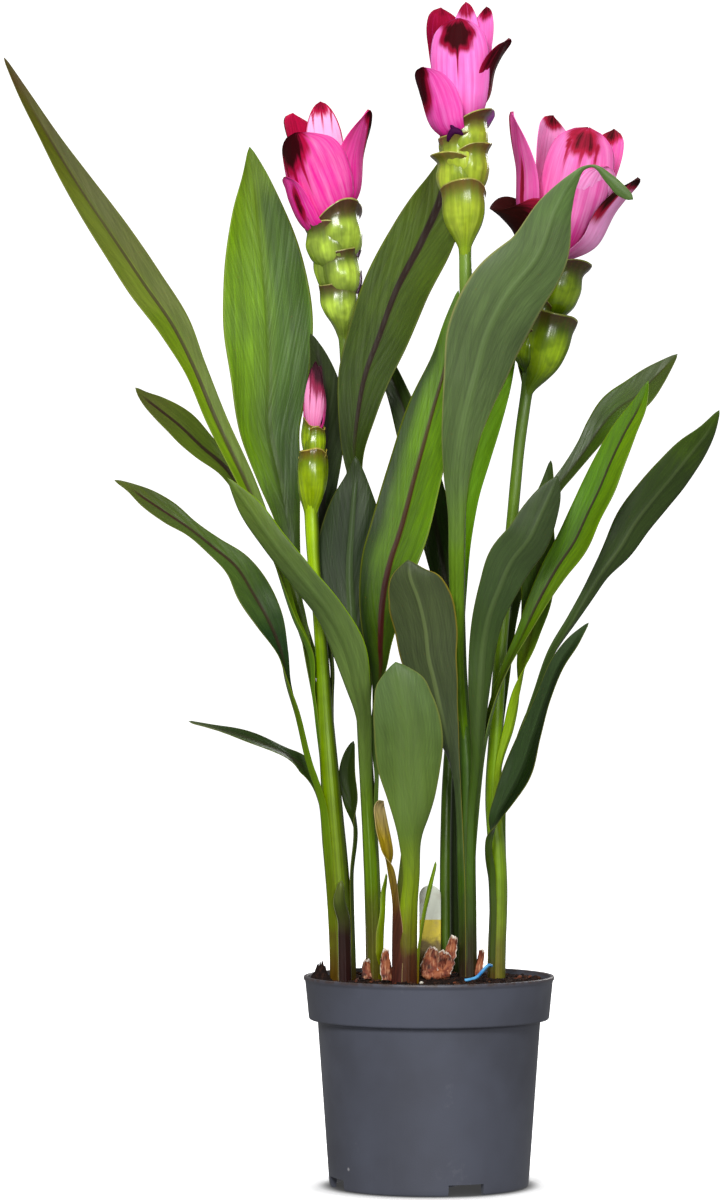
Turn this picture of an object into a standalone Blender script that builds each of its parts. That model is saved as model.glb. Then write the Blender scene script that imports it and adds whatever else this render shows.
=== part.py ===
# Potted siam tulip: four flowering shoots and three young ones in a 12 cm nursery pot.
# Measures below are in millimetres and MM brings them to metres. +Z is up, the front is -Y,
# and the origin is the middle of the pot's underside.
import math

import bmesh
import bpy
import numpy as np
from mathutils import Matrix, Vector, noise

MM = 0.001
GAP = 0.3            # clearance between pieces that touch
WELD = 0.002         # corners nearer than this are one corner
BLADE = 0.7          # thickness of leaves
BRACT = 0.8          # thickness of the bracts in the flower heads and of papery skin

POT_TOP = 60.0       # outer radius at the rim
POT_HEIGHT = 101.6
BAND = 21.0          # height of the band under the rim
POT_BODY = 53.9      # outer radius just under the band
POT_FOOT = 48.3
WALL = 1.2
POT_FLOOR = 8.2      # upper side of the floor
NOTCH_WIDTH, NOTCH_HEIGHT, NOTCH_DEPTH = 18.0, 5.5, 8.0
NOTCH_TURNS = (-69, 21, 111, 201)
DRAIN_RADIUS, DRAIN_AT, DRAIN_DEPTH, DRAIN_SIDES = 4.0, 36.0, 6.0, 8
POT_STEPS = 28       # facets round the pot and its soil
CENTRE_DISC = 14.2   # radius of the flat disc under the middle of the floor
FLOOR_EDGE = (POT_FOOT - WALL + 0.2, POT_FLOOR + 1.8)                # inside, above the floor
SHOULDER = (POT_BODY - WALL, POT_HEIGHT - BAND + 0.6)                # inside, under the band

SOIL_LEVEL = 98.0
SOIL_FLOOR = 8.5
SOIL_RINGS = (0.2, 0.4, 0.58, 0.72, 0.86, 1.0)       # rings of its surface, as parts of its radius
ROOT_DEPTH = 74.0    # height where the stems' lower ends stand in the soil
HOLE_EXTRA = 1.8     # a stem's hole has this much more radius than the stem
HOLE_SIDES, HOLE_LENGTH = 10, 60.0

COLOURS = {
    "pot_plastic": ((0.10, 0.11, 0.135), 0.45),
    "soil": ((0.030, 0.018, 0.011), 0.95),
    "label": ((0.75, 0.75, 0.70), 0.5),
    "tie": ((0.03, 0.30, 0.70), 0.4),
    "rhizome_skin": ((0.30, 0.09, 0.05), 0.7),
    "stalk": ((0.16, 0.28, 0.03), 0.4),
    "pink": ((0.72, 0.09, 0.36), 0.5),
    "leaf_olive": ((0.07, 0.14, 0.025), 0.45),
    "leaf_bright": ((0.12, 0.27, 0.02), 0.45),
    "leaf_grey": ((0.06, 0.10, 0.045), 0.55),
    "leaf_dark": ((0.035, 0.075, 0.022), 0.45),
    "leaf_dry": ((0.25, 0.11, 0.05), 0.7),
}

# Each shoot: points (x, y, z, radius) of its stem from the soil upwards
SHOOTS = {
    "bud": [(-42, 4, 74.3, 6.0), (-42, 4, 101, 6.0), (-44, 4, 147, 5.6), (-47, 3, 186, 4.9),
            (-50, 3, 225, 3.9), (-52, 2, 259, 3.2), (-54, 1, 283, 2.6), (-56, 0, 305, 2.5),
            (-57, 0, 328, 3.2)],
    "left": [(-26.5, -12, 74.3, 4.0), (-26.5, -12, 104, 4.0), (-27.5, -11, 148, 3.9),
             (-29.5, -6, 187, 3.6), (-31.5, 0, 220, 3.4), (-33.5, 9, 259, 3.2),
             (-35, 20, 298, 3.0), (-36.5, 28, 332, 3.0), (-38.5, 35, 376, 3.0),
             (-41, 38, 413, 3.2)],
    "young": [(-12, -22, 74.3, 6.0), (-12, -22, 102, 6.0), (-11, -22, 139, 5.3),
              (-9.5, -22.5, 160, 4.4), (-9, -23, 174, 3.2)],
    "slim": [(8, 6, 74.3, 2.7), (8, 6, 114, 2.7), (8, 7, 158, 2.6), (9, 10, 196, 2.4),
             (12, 14, 236, 2.0)],
    "middle": [(19, 0, 74.3, 4.3), (19, 0, 102, 4.3), (18.5, 0, 157, 4.2), (18.5, 0, 196, 3.9),
               (15.5, 0, 240, 3.5), (14.5, 1, 273, 3.2), (15, 3, 331, 3.0), (17, 4, 390, 3.0),
               (18, 4, 428, 3.1), (17.5, 4, 455, 3.3)],
    "right": [(33, 12, 74.3, 4.4), (33, 12, 104, 4.4), (34, 12, 147, 4.3), (31.5, 12, 191, 4.0),
              (32.5, 11, 215, 3.5), (35, 11, 259, 3.1), (38.5, 11, 298, 2.9), (41.5, 11, 332, 2.8),
              (45, 11, 366, 2.8), (48, 11, 386, 3.1)],
    "rear": [(13, 22, 74.3, 2.3), (13, 22, 107, 2.3), (13, 22, 156, 2.3), (13.5, 22, 205, 2.1),
             (14, 24, 232, 1.8)],
}
STEM_SIDES = 8
STALK_POINTS, STEM_POINTS = 10, 9
PINK_SIDES = 10      # round the core of a pink head

# Each leaf lies on its shoot's side `turn` (degrees from +X) from height `low` to `high`, where it wraps
# `wrap` degrees each way, then follows its route. A route point is (x, y, z, half width). `face` is the
# way the upper side of the blade looks, `fold` how far its halves rise (degrees), `wave` its edges'
# ripple.
LEAVES = {
    "leaf_long_left": dict(
        shoot="bud", turn=185, low=198, high=238, wrap=28, face=(0.20, -0.92, 0.33), fold=22, wave=0.7,
        rows=15, colour="leaf_olive",
        route=[(-57, -1, 256, 3.0), (-65, -5, 275, 3.6), (-74, -9, 303, 4.4), (-87.5, -12, 337.5, 5.0),
               (-103, -15, 371, 5.3), (-113.5, -18, 396, 6.2), (-122.5, -22, 414, 8.8),
               (-137, -28, 435, 9.8), (-151, -36, 456, 9.2), (-167, -43, 480, 7.4),
               (-180.5, -50, 502, 4.9), (-191, -55, 520, 3.2), (-201.5, -60, 539.5, 0.6)]),
    "leaf_broad_left": dict(
        shoot="bud", turn=78, low=205, high=234, wrap=24, face=(0.10, -0.98, 0.16), fold=16, wave=1.4,
        rows=13, colour="leaf_olive",
        route=[(-56.5, 17, 256, 2.8), (-64, 22, 281, 3.2), (-66, 26, 303, 3.8), (-69, 30, 323, 6.5),
               (-73, 35, 343, 10.8), (-78, 39, 367, 15.4), (-78, 43, 394, 20.0),
               (-79, 47, 421, 22.3), (-81, 50, 448, 20.0), (-83.5, 51, 473, 14.0),
               (-85.5, 52, 493, 6.5), (-88, 52, 507.5, 0.6)]),
    "leaf_olive_left": dict(
        shoot="bud", turn=130, low=188, high=222, wrap=21, face=(0.22, -0.88, 0.42), fold=24, wave=0.8,
        rows=9, colour="leaf_olive",
        route=[(-58, 10, 250, 2.6), (-65, 13, 285, 2.9), (-75, 16, 309, 3.4), (-88, 16, 332, 4.2),
               (-99, 14, 348, 5.2), (-110, 11, 357.5, 7.4), (-121, 7, 368, 9.0),
               (-131, 2, 376, 6.6), (-139, -2, 382.5, 2.6), (-142, -4, 386, 0.6)]),
    "leaf_twisted_left": dict(
        shoot="bud", turn=212, low=93, high=184, wrap=37, face=(0.25, -0.85, 0.45), fold=26, wave=1.2,
        rows=15, colour="leaf_dark",
        route=[(-58.5, -4, 205, 2.9), (-64, -9, 229, 2.9), (-68, -13, 243, 3.3),
               (-71, -17, 258, 4.4), (-77, -20, 273, 7.8), (-85, -22, 287, 9.2),
               (-92.5, -25, 299, 7.4), (-103.5, -28, 308.5, 5.4), (-114, -31, 317, 4.7),
               (-125, -33, 324.5, 6.8), (-135.5, -35, 331.5, 5.8), (-143.5, -37, 337, 2.6),
               (-150.5, -38, 340.5, 0.6)]),
    "leaf_low_left": dict(
        shoot="bud", turn=146, low=152, high=182, wrap=21, face=(0.12, -0.55, 0.82), fold=20, wave=0.5,
        rows=9, colour="leaf_dark",
        route=[(-57, 7, 196, 3.6), (-62, 5, 203, 5.3), (-68, 1, 208, 5.4), (-80, -4, 214, 4.9),
               (-93.5, -9, 219, 3.7), (-106, -12, 222.5, 1.9), (-116, -14, 225, 0.6)]),
    "leaf_behind_bud": dict(
        shoot="bud", turn=20, low=212, high=246, wrap=26, face=(0.15, -0.98, 0.12), fold=18, wave=0.5,
        rows=9, colour="leaf_dark",
        route=[(-49.5, 10, 274, 2.7), (-50.5, 15, 298, 3.0), (-52, 18, 322, 4.2),
               (-51.5, 20, 336.5, 6.6), (-51, 21, 354, 9.0), (-50, 22, 371, 9.4),
               (-51, 22, 388, 8.0), (-54, 22, 403, 4.2), (-57.5, 22, 413.5, 0.6)]),
    "leaf_small_dark": dict(
        shoot="bud", turn=-4, low=93, high=150, wrap=27, face=(-0.30, -0.95, 0.0), fold=24, wave=0.2,
        rows=8, colour="leaf_dark",
        route=[(-35.5, 7, 172, 2.3), (-38, 9, 187, 4.0), (-39.5, 9, 199, 4.2), (-38, 8, 210, 2.4),
               (-36.5, 8, 215, 0.6)]),
    "sheath_bud": dict(
        shoot="bud", turn=286, low=93, high=128, wrap=29, face=(0.0, 0.98, 0.1), fold=40, wave=0.0,
        rows=6, colour="leaf_olive",
        route=[(-43, -4.8, 138, 3.2), (-42.5, -5.4, 148, 0.7)]),
    "leaf_crossing_left": dict(
        shoot="left", turn=262, low=93, high=184, wrap=45, face=(0.30, 0.88, 0.36), fold=24, wave=0.8,
        rows=15, colour="leaf_grey",
        route=[(-31, -14.5, 205, 3.5), (-32, -19, 228, 4.2), (-35, -23, 243, 6.5),
               (-39.5, -27, 260, 8.9), (-48.5, -31, 277.5, 8.2), (-62.5, -34, 295.5, 7.5),
               (-75, -36, 311, 6.9), (-87, -37, 328, 5.7), (-96.5, -38, 341.5, 0.6)]),
    "leaf_dark_middle": dict(
        shoot="left", turn=278, low=206, high=236, wrap=34, face=(0.0, 0.99, 0.1), fold=14, wave=0.6,
        rows=9, colour="leaf_dark",
        route=[(-33.5, 0, 255, 4.6), (-36, 1, 264, 9.0), (-38, 3, 283, 15.5), (-38.5, 4, 302.5, 17.0),
               (-37.5, 4, 317, 15.0), (-36.5, 4, 331, 11.0), (-35.5, 4, 343.5, 5.0),
               (-35.5, 3, 353, 0.6)]),
    "leaf_tall_middle": dict(
        shoot="left", turn=8, low=212, high=246, wrap=30, face=(-0.22, -0.97, 0.05), fold=18, wave=1.2,
        rows=14, colour="leaf_olive",
        route=[(-29, 8, 283, 2.8), (-31.5, 10, 312, 3.2), (-34, 12, 336, 4.2), (-36, 14, 355.5, 6.5),
               (-34.5, 15, 373, 9.5), (-31, 18, 392.5, 13.0), (-24, 22, 412, 15.6),
               (-15.5, 27, 435, 17.0), (-3, 33, 459.5, 16.5), (7.5, 38, 484, 11.5),
               (11, 40, 499, 5.0), (14, 41, 509.5, 0.6)]),
    "leaf_bright_middle": dict(
        shoot="left", turn=344, low=160, high=196, wrap=27, face=(-0.30, -0.95, 0.1), fold=16, wave=1.0,
        rows=14, colour="leaf_bright",
        route=[(-26.5, -9, 218, 2.9), (-25.5, -11, 236, 4.0), (-23.5, -12, 247, 6.4),
               (-23.5, -13, 263.5, 9.2), (-22.5, -13, 283, 11.8), (-18.5, -13, 303, 14.2),
               (-14.5, -13, 315, 14.6), (-7, -13, 343, 14.2), (1.5, -13, 374, 12.8),
               (8.5, -13, 400, 7.4), (11, -13, 418, 3.6), (14, -13, 432.5, 0.6)]),
    "sheath_left": dict(
        shoot="left", turn=5, low=93, high=132, wrap=40, face=(-0.98, 0.0, 0.1), fold=40, wave=0.0,
        rows=6, colour="leaf_olive",
        route=[(-21.8, -11.5, 142, 2.2), (-20.8, -12, 152, 0.7)]),
    "leaf_round_front": dict(
        shoot="young", turn=288, low=93, high=150, wrap=50, face=(0.0, 0.95, 0.3), fold=22, wave=0.9,
        rows=11, colour="leaf_grey",
        route=[(-8.5, -31, 168, 6.6), (-8.5, -34, 178, 9.0), (-9, -37, 190, 12.0),
               (-10, -40, 203.5, 15.4), (-10.5, -43, 220, 16.5), (-13, -46, 235.5, 14.4),
               (-15, -47, 246, 10.4), (-16.5, -47, 254, 0.9)]),
    "leaf_dry_brown": dict(
        shoot="young", turn=182, low=93, high=138, wrap=44, face=(0.3, -0.93, 0.2), fold=40, wave=0.3,
        rows=9, colour="leaf_dry",
        route=[(-19, -20, 152, 3.0), (-21, -19, 165, 3.2), (-23.5, -18.5, 177, 3.4),
               (-24, -19, 185, 2.6), (-22, -22, 187, 1.4)]),
    "leaf_thin_spike": dict(
        shoot="young", turn=358, low=93, high=122, wrap=15, face=(-0.95, -0.3, 0.1), fold=40, wave=0.0,
        rows=6, colour="leaf_bright",
        route=[(-2.5, -21, 134, 1.8), (0.5, -20.5, 148, 1.3), (3, -20, 158, 0.6)]),
    "leaf_rear_bright": dict(
        shoot="slim", turn=40, low=172, high=222, wrap=34, face=(0.20, -0.97, 0.1), fold=20, wave=0.6,
        rows=11, colour="leaf_bright",
        route=[(16, 19, 258, 2.8), (16.5, 21, 285, 3.2), (16.5, 22, 314, 5.0), (18.5, 22, 334, 6.4),
               (22.5, 23, 353.5, 8.0), (28, 24, 373, 8.5), (33.5, 26, 390, 7.5),
               (39, 28, 406.5, 4.6), (44, 30, 419, 0.6)]),
    "leaf_rear_dark": dict(
        shoot="rear", turn=110, low=172, high=216, wrap=34, face=(-0.20, -0.97, 0.1), fold=18, wave=0.8,
        rows=11, colour="leaf_dark",
        route=[(12, 30, 246, 2.7), (11.5, 33, 266, 3.6), (9, 35, 289, 6.0), (5, 37, 313.5, 8.0),
               (-1, 38, 340, 8.6), (-7.5, 40, 362.5, 7.4), (-14.5, 41, 384.5, 5.6),
               (-21.5, 42, 401, 4.0), (-28, 43, 414, 0.6)]),
    "leaf_grey_front": dict(
        shoot="middle", turn=264, low=206, high=248, wrap=36, face=(-0.10, 0.94, 0.32), fold=18, wave=1.4,
        rows=19, colour="leaf_grey",
        route=[(13.5, -9, 272, 3.6), (13, -15, 302.5, 4.1), (13, -19, 324, 4.4), (13, -23, 343, 6.5),
               (15, -27, 361.5, 9.5), (19, -31, 380, 13.2), (22.5, -33, 393.5, 16.2),
               (26.5, -36, 408.5, 19.0), (36, -40, 427.5, 19.5), (51, -44, 447, 15.2),
               (60, -47, 470, 8.4), (67.5, -49, 482.5, 3.2), (72.5, -50, 488, 1.0),
               (76.5, -51, 489, 0.7), (85, -52, 482.5, 2.4), (90.5, -52, 477, 2.8),
               (96, -52, 473, 1.6)]),
    "leaf_round_middle": dict(
        shoot="middle", turn=212, low=93, high=176, wrap=38, face=(0.05, 0.95, 0.3), fold=20, wave=1.0,
        rows=14, colour="leaf_grey",
        route=[(12.5, -6.5, 197, 3.2), (10.5, -10, 208, 4.2), (8, -13, 219, 6.2),
               (5, -17, 232, 8.8), (2.5, -20, 243.5, 11.4), (-0.5, -23, 256, 13.8),
               (-2, -26, 269.5, 15.4), (-5.5, -30, 284, 15.2), (-9.5, -33, 295, 9.8),
               (-10.5, -34, 302.5, 0.9)]),
    "leaf_grey_right": dict(
        shoot="middle", turn=298, low=93, high=180, wrap=35, face=(-0.12, 0.95, 0.26), fold=20, wave=1.0,
        rows=15, colour="leaf_grey",
        route=[(23.5, -8, 203, 3.2), (24, -12, 224, 4.4), (24.5, -16, 243, 6.0), (26, -19, 263, 6.9),
               (28.5, -23, 276, 7.8), (33, -26, 288.5, 9.6), (39, -29, 302, 11.4),
               (47, -32, 312.5, 11.2), (53, -33, 325, 9.2), (58, -34, 336, 5.0),
               (61, -35, 342.5, 0.6)]),
    "leaf_bright_right": dict(
        shoot="middle", turn=8, low=150, high=188, wrap=25, face=(-0.35, -0.90, 0.25), fold=22, wave=0.8,
        rows=14, colour="leaf_bright",
        route=[(27, -3, 215, 2.7), (31.5, -5, 234.5, 3.0), (38, -7, 252, 3.2), (45, -8, 266.5, 3.9),
               (52.5, -9, 282.5, 5.3), (61, -10, 298, 7.1), (70, -12, 312, 8.9), (75.5, -13, 324, 9.1),
               (81.5, -14, 336.5, 9.3), (87, -15, 349.5, 8.1), (94, -17, 364, 6.6),
               (100.5, -19, 376, 4.3), (105, -20, 388.5, 0.6)]),
    "leaf_far_right": dict(
        shoot="right", turn=2, low=150, high=188, wrap=27, face=(-0.25, 0.90, 0.32), fold=22, wave=1.0,
        rows=14, colour="leaf_grey",
        route=[(44, 14, 215, 2.7), (53, 14, 239.5, 2.8), (60.5, 13, 258, 3.1), (70, 12, 273.5, 3.4),
               (77.5, 11, 286, 3.9), (83.5, 10, 296, 5.0), (92.5, 9, 308.5, 8.1),
               (100, 8, 321, 9.7), (109.5, 6, 333.5, 10.1), (118.5, 3, 344.5, 10.0),
               (128, 0, 356.5, 8.3), (134.5, -4, 365, 4.7), (140, -8, 375, 0.6)]),
    "leaf_low_right": dict(
        shoot="right", turn=232, low=93, high=146, wrap=26, face=(-0.62, -0.68, 0.38), fold=26, wave=0.8,
        rows=14, colour="leaf_dark",
        route=[(29.5, 1, 165, 2.5), (32.5, -3, 177.5, 4.7), (37.5, -6, 187.5, 7.2),
               (44, -8, 201, 9.0), (50, -11, 219, 7.9), (56, -13, 237, 5.6), (63, -16, 254, 4.6),
               (70, -18, 264, 3.6), (76.5, -19, 272.5, 0.6)]),
    "leaf_upper_right": dict(
        shoot="right", turn=62, low=186, high=222, wrap=30, face=(-0.30, -0.90, 0.30), fold=24, wave=0.8,
        rows=14, colour="leaf_olive",
        route=[(38, 20, 247, 2.8), (41, 24, 272, 2.9), (46.5, 27, 296, 3.0), (54.5, 29, 320, 3.3),
               (62, 31, 337.5, 3.6), (69.5, 32, 347, 4.2), (78, 33, 358.5, 5.6),
               (84.5, 34, 368, 7.5), (92, 36, 376.5, 9.1), (102, 38, 383.5, 9.1),
               (111, 40, 392.5, 6.6), (117.5, 41, 399, 3.6), (123, 42, 404.5, 0.6)]),
    "leaf_behind_right": dict(
        shoot="right", turn=296, low=160, high=202, wrap=27, face=(-0.30, -0.95, 0.0), fold=20, wave=0.5,
        rows=11, colour="leaf_bright",
        route=[(39.5, 6, 222, 3.2), (42.5, 4, 236, 3.5), (46, 3, 254, 4.0), (49, 3, 267, 5.0),
               (52.5, 2, 284, 7.8), (53, 2, 306, 9.0), (54.5, 1, 325, 6.5), (57.5, 0, 340, 3.2),
               (59, 0, 351, 0.6)]),
}
LEAF_COLUMNS = 4
CLASP_ROWS = 6       # rows of a leaf along its stem
CLASP_GAP, CLASP_FLARE = 0.65, 0.5   # from the stem at the foot, and how much more at the top
FOOT_HALF = 1.2      # half width of a foot that ends above the soil
NECK_FOLD = 58.0     # how far a leaf is folded where it leaves its stem
LEAF_RIPPLES, EDGE_HALF = 3.0, 0.5   # ripples along a blade, and its least half width

# Flower heads: the head stands on its shoot's top and leans by `lean` (degrees, towards +X).
# A bract is (turn, foot height, rise, reach, half width, curl), reach being its largest distance from
# the head's axis and curl how far its tip leans out.
HEADS = {
    "left": dict(
        lean=-6.0,
        green=[(250, 2, 24, 10.5, 13, 0.5), (70, 4, 26, 10.0, 13, 0.5), (320, 14, 27, 12.0, 14, 1.5),
               (150, 17, 28, 12.0, 14, 0.8), (237, 29, 29, 13.0, 15, 1.0), (350, 31, 28, 13.0, 15, 3.0)],
        core=[(0, 3.2), (14, 5.0), (30, 6.2), (47, 6.2), (55, 5.2)],
        pink_foot=55.6, pink_core=[(0, 4.8), (12, 6.5), (28, 5.0), (40, 2.0)],
        pink=[(232, 3, 42, 19, 15, 1), (195, 1, 24, 20, 12, 4), (330, 3, 50, 18, 14, 8),
              (85, 6, 52, 14, 13, 0), (140, 6, 47, 15, 13, 3), (285, 11, 41, 12, 11, 0)]),
    "middle": dict(
        lean=-1.5,
        green=[(265, 2, 27, 12.5, 14, 0.8), (95, 4, 27, 11.5, 14, 0.8), (205, 18, 28, 13.0, 14, 3.0),
               (330, 21, 28, 13.0, 14, 1.8), (110, 33, 27, 12.0, 14, 1.0), (300, 35, 31, 13.5, 15, 4.0)],
        core=[(0, 3.3), (14, 5.4), (30, 6.2), (50, 6.2), (60, 5.2)],
        pink_foot=60.6, pink_core=[(0, 4.8), (12, 6.5), (28, 5.0), (40, 2.0)],
        pink=[(268, 3, 45, 16, 16, -2), (207, 1, 23, 19, 13, 4), (330, 4, 34, 18, 12, 7),
              (62, 8, 49, 15, 12, 4), (140, 7, 47, 14, 12, 2), (232, 15, 36, 10.5, 9, 0)]),
    "right": dict(
        lean=13.0,
        green=[(250, 2, 30, 15.5, 17, 2.5), (70, 4, 27, 12.0, 14, 1.0), (335, 15, 29, 14.5, 15, 2.5),
               (178, 20, 27, 12.0, 13, 0.8), (280, 33, 30, 14.5, 15, 3.0), (104, 34.5, 27, 12.0, 14, 1.0)],
        core=[(0, 3.1), (14, 5.4), (30, 6.2), (50, 6.0), (60, 5.2)],
        pink_foot=60.6, pink_core=[(0, 4.8), (14, 7.0), (30, 5.5), (44, 2.0)],
        pink=[(256, 4, 64, 19, 19, -3), (201, 5, 63, 29, 15, 11), (342, 3, 48, 22, 14, 8),
              (205, 1.5, 24, 26, 12, 12), (306, 9, 56, 18, 13, 3),
              (54, 6, 68, 18, 14, 4), (138, 7.5, 66, 20, 16, 3)]),
    "bud": dict(
        lean=2.0,
        green=[(260, 2, 27, 7.4, 10, -1.5), (80, 3, 27, 7.4, 10, -1.5), (330, 22, 17, 6.2, 8, -0.8),
               (190, 24, 18, 6.2, 8, -0.8), (97, 24, 17, 6.2, 7, -0.8)],
        core=[(0, 3.2), (12, 5.2), (26, 4.6), (34, 3.6)],
        pink_foot=34.6, pink_core=[(0, 3.2), (8, 3.4), (20, 2.2), (26, 1.0)],
        pink=[(265, 2, 33, 5.0, 6, -3.6), (25, 2, 32, 5.0, 6, -3.6), (145, 2, 31, 5.0, 6, -3.6)]),
}
GREEN_ROWS, PINK_ROWS, BRACT_COLUMNS = 3, 4, 4

SKINS = [  # foot x, foot y, lean in x, height, half width, turn
    (0.0, -15.0, -3.0, 17.0, 5.0, 20.0),
    (4.5, -14.5, 2.0, 13.0, 5.5, -15.0),
    (8.0, -13.5, 4.0, 19.0, 4.0, 60.0),
]
SKIN_ROWS, SKIN_COLUMNS, SKIN_FOLD = 3, 3, 50.0
SKIN_SINK = 2.2      # the shards' feet above the soil, inside the strip that joins them
SKIN_LIFT = 2.6      # the middle of that strip above the soil
SKIN_FOOT = [(-3.5, -15.0, 1.9), (0.5, -14.8, 2.2), (5.0, -14.2, 2.2), (9.5, -13.4, 1.8)]  # x, y, radius
LABEL_AT, LABEL_SIZE = (0.5, -1.0), (10.5, 0.9, 71.0)
TIE_ROUTE = [(17.0, -20.0, 1.2), (19.5, -18.5, 1.4), (22.5, -16.0, 2.6), (25.5, -13.0, 5.0),
             (28.5, -10.0, 7.5), (30.0, -7.5, 7.8)]
TIE_RADIUS, TIE_POINTS, TIE_SIDES = 0.8, 14, 8


def new_collection(name):
    collection = bpy.data.collections.new(name)
    bpy.context.scene.collection.children.link(collection)
    return collection


def material(name):
    found = bpy.data.materials.get(name)
    if found:
        return found
    colour, roughness = COLOURS[name]
    made = bpy.data.materials.new(name)
    made.use_nodes = True
    shader = made.node_tree.nodes["Principled BSDF"]
    shader.inputs["Base Color"].default_value = (*colour, 1.0)
    shader.inputs["Roughness"].default_value = roughness
    shader.inputs["Metallic"].default_value = 0.0
    made.diffuse_color = (*colour, 1.0)
    return made


def add_object(name, data, collection, colour=None):
    made = bpy.data.objects.new(name, data)
    collection.objects.link(made)
    if colour:
        made.data.materials.append(material(colour))
    return made


def smooth(mesh, angle=40.0):
    mesh.shade_smooth()
    mesh.set_sharp_from_angle(angle=math.radians(angle))


def through(points, count=None, spots=None):
    """Points on a smooth curve through the given rows, by arc length (cubic Hermite spans)."""
    rows = np.array(points, dtype=float)
    steps = np.linalg.norm(np.diff(rows[:, :3], axis=0), axis=1)
    at = np.concatenate([[0.0], np.cumsum(steps)])
    slopes = np.gradient(rows, at, axis=0)
    wanted = np.linspace(0.0, at[-1], count) if spots is None else np.asarray(spots) * at[-1]
    span = np.clip(np.searchsorted(at, wanted, side="right") - 1, 0, len(at) - 2)
    length = (at[span + 1] - at[span])[:, None]
    t = ((wanted - at[span]) / length[:, 0])[:, None]
    return ((2 * t**3 - 3 * t**2 + 1) * rows[span] + (t**3 - 2 * t**2 + t) * length * slopes[span]
            + (3 * t**2 - 2 * t**3) * rows[span + 1] + (t**3 - t**2) * length * slopes[span + 1])


def stem_at(shoot, height):
    """Centre and radius of a shoot's stem at a height."""
    rows = through(SHOOTS[shoot], 120)
    return np.array([np.interp(height, rows[:, 2], rows[:, i]) for i in range(4)])


def unit(vectors):
    return vectors / np.linalg.norm(vectors, axis=-1, keepdims=True)


def ribbon(spine, halves, folds, normals, columns, wave=0.0, waves=1.0):
    """A curved strip as a grid mesh: each row is an arc of half width `halves`, bent by `folds`."""
    rows = len(spine)
    tangents = unit(np.gradient(spine, axis=0))
    sides = unit(np.cross(tangents, normals))
    upright = np.cross(sides, tangents)
    across = np.linspace(-1.0, 1.0, columns + 1)
    radius = (halves / np.maximum(folds, 0.02))[:, None]
    angle = folds[:, None] * across[None, :]
    ripple = wave * np.sin(np.linspace(0.0, waves * 2 * np.pi, rows))[:, None] * across * np.abs(across)
    ripple = ripple * np.minimum(halves / halves.max(), 1.0)[:, None]
    lift = radius * (1 - np.cos(angle)) + ripple
    places = (spine[:, None, :] + sides[:, None, :] * (radius * np.sin(angle))[:, :, None]
              + upright[:, None, :] * lift[:, :, None])
    sheet = bmesh.new()
    bmesh.ops.create_grid(sheet, x_segments=columns, y_segments=rows - 1, size=1.0)
    sheet.verts.ensure_lookup_table()
    for row in range(rows):
        for column in range(columns + 1):
            sheet.verts[row * (columns + 1) + column].co = Vector(places[row, column]) * MM
    bmesh.ops.triangulate(sheet, faces=sheet.faces, quad_method="FIXED")
    mesh = bpy.data.meshes.new("ribbon")
    sheet.to_mesh(mesh)
    sheet.free()
    return mesh


def thicken(obj, thickness):
    wall = obj.modifiers.new("thickness", "SOLIDIFY")
    wall.thickness = thickness * MM
    wall.offset = -1.0


def finished_mesh(obj):
    """The object's mesh as its modifiers leave it, in world space."""
    graph = bpy.context.evaluated_depsgraph_get()
    graph.update()
    mesh = bpy.data.meshes.new_from_object(obj.evaluated_get(graph), depsgraph=graph)
    mesh.transform(obj.matrix_world)
    return mesh


def add_solid(name, sheet, collection, place=None):
    """A thickened strip as a solid of its own, ready for joining."""
    strip = add_object(name, sheet, collection)
    thicken(strip, BRACT)
    mesh = finished_mesh(strip)
    bpy.data.objects.remove(strip)
    if place:
        mesh.transform(place)
    return add_object(name, mesh, collection)


def bodies(shape):
    """The connected pieces of a bmesh, each a list of vertices."""
    left, found = set(shape.verts), []
    while left:
        start = left.pop()
        group, waiting = [start], [start]
        while waiting:
            vertex = waiting.pop()
            for edge in vertex.link_edges:
                other = edge.other_vert(vertex)
                if other in left:
                    left.remove(other)
                    group.append(other)
                    waiting.append(other)
        found.append(group)
    return found


def keep_main_body(mesh):
    """Drop sealed hollows and loose scraps, which are every body but the largest."""
    shape = bmesh.new()
    shape.from_mesh(mesh)
    bmesh.ops.remove_doubles(shape, verts=shape.verts, dist=WELD * MM)
    bmesh.ops.dissolve_degenerate(shape, edges=shape.edges, dist=WELD * MM)
    groups = sorted(bodies(shape), key=len)
    bmesh.ops.delete(shape, geom=[v for group in groups[:-1] for v in group], context="VERTS")
    bmesh.ops.triangulate(shape, faces=shape.faces)
    shape.to_mesh(mesh)
    shape.free()


def boolean(obj, pieces, operation, solver="EXACT"):
    """Join or cut obj with every object of a collection, then remove that collection's objects."""
    joint = obj.modifiers.new(operation.lower(), "BOOLEAN")
    joint.operation = operation
    joint.solver = solver
    joint.operand_type = "COLLECTION"
    joint.collection = pieces
    mesh = finished_mesh(obj)
    obj.modifiers.clear()
    obj.data = mesh
    obj.matrix_world = Matrix.Identity(4)
    for piece in list(pieces.objects):
        bpy.data.objects.remove(piece)
    bpy.data.collections.remove(pieces)


def turned(name, profile, steps, collection, colour=None):
    """A turned solid from a closed profile of (radius, height), outer side listed downwards."""
    mesh = bpy.data.meshes.new(name)
    mesh.from_pydata([(r * MM, 0.0, z * MM) for r, z in profile],
                     [(i, i + 1) for i in range(len(profile) - 1)], [])
    made = add_object(name, mesh, collection, colour)
    turn = made.modifiers.new("turn", "SCREW")
    turn.axis = "Z"
    turn.angle = math.tau
    turn.steps = turn.render_steps = steps
    turn.use_merge_vertices = True
    turn.merge_threshold = 0.00001
    turn.use_smooth_shade = True
    return made


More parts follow.
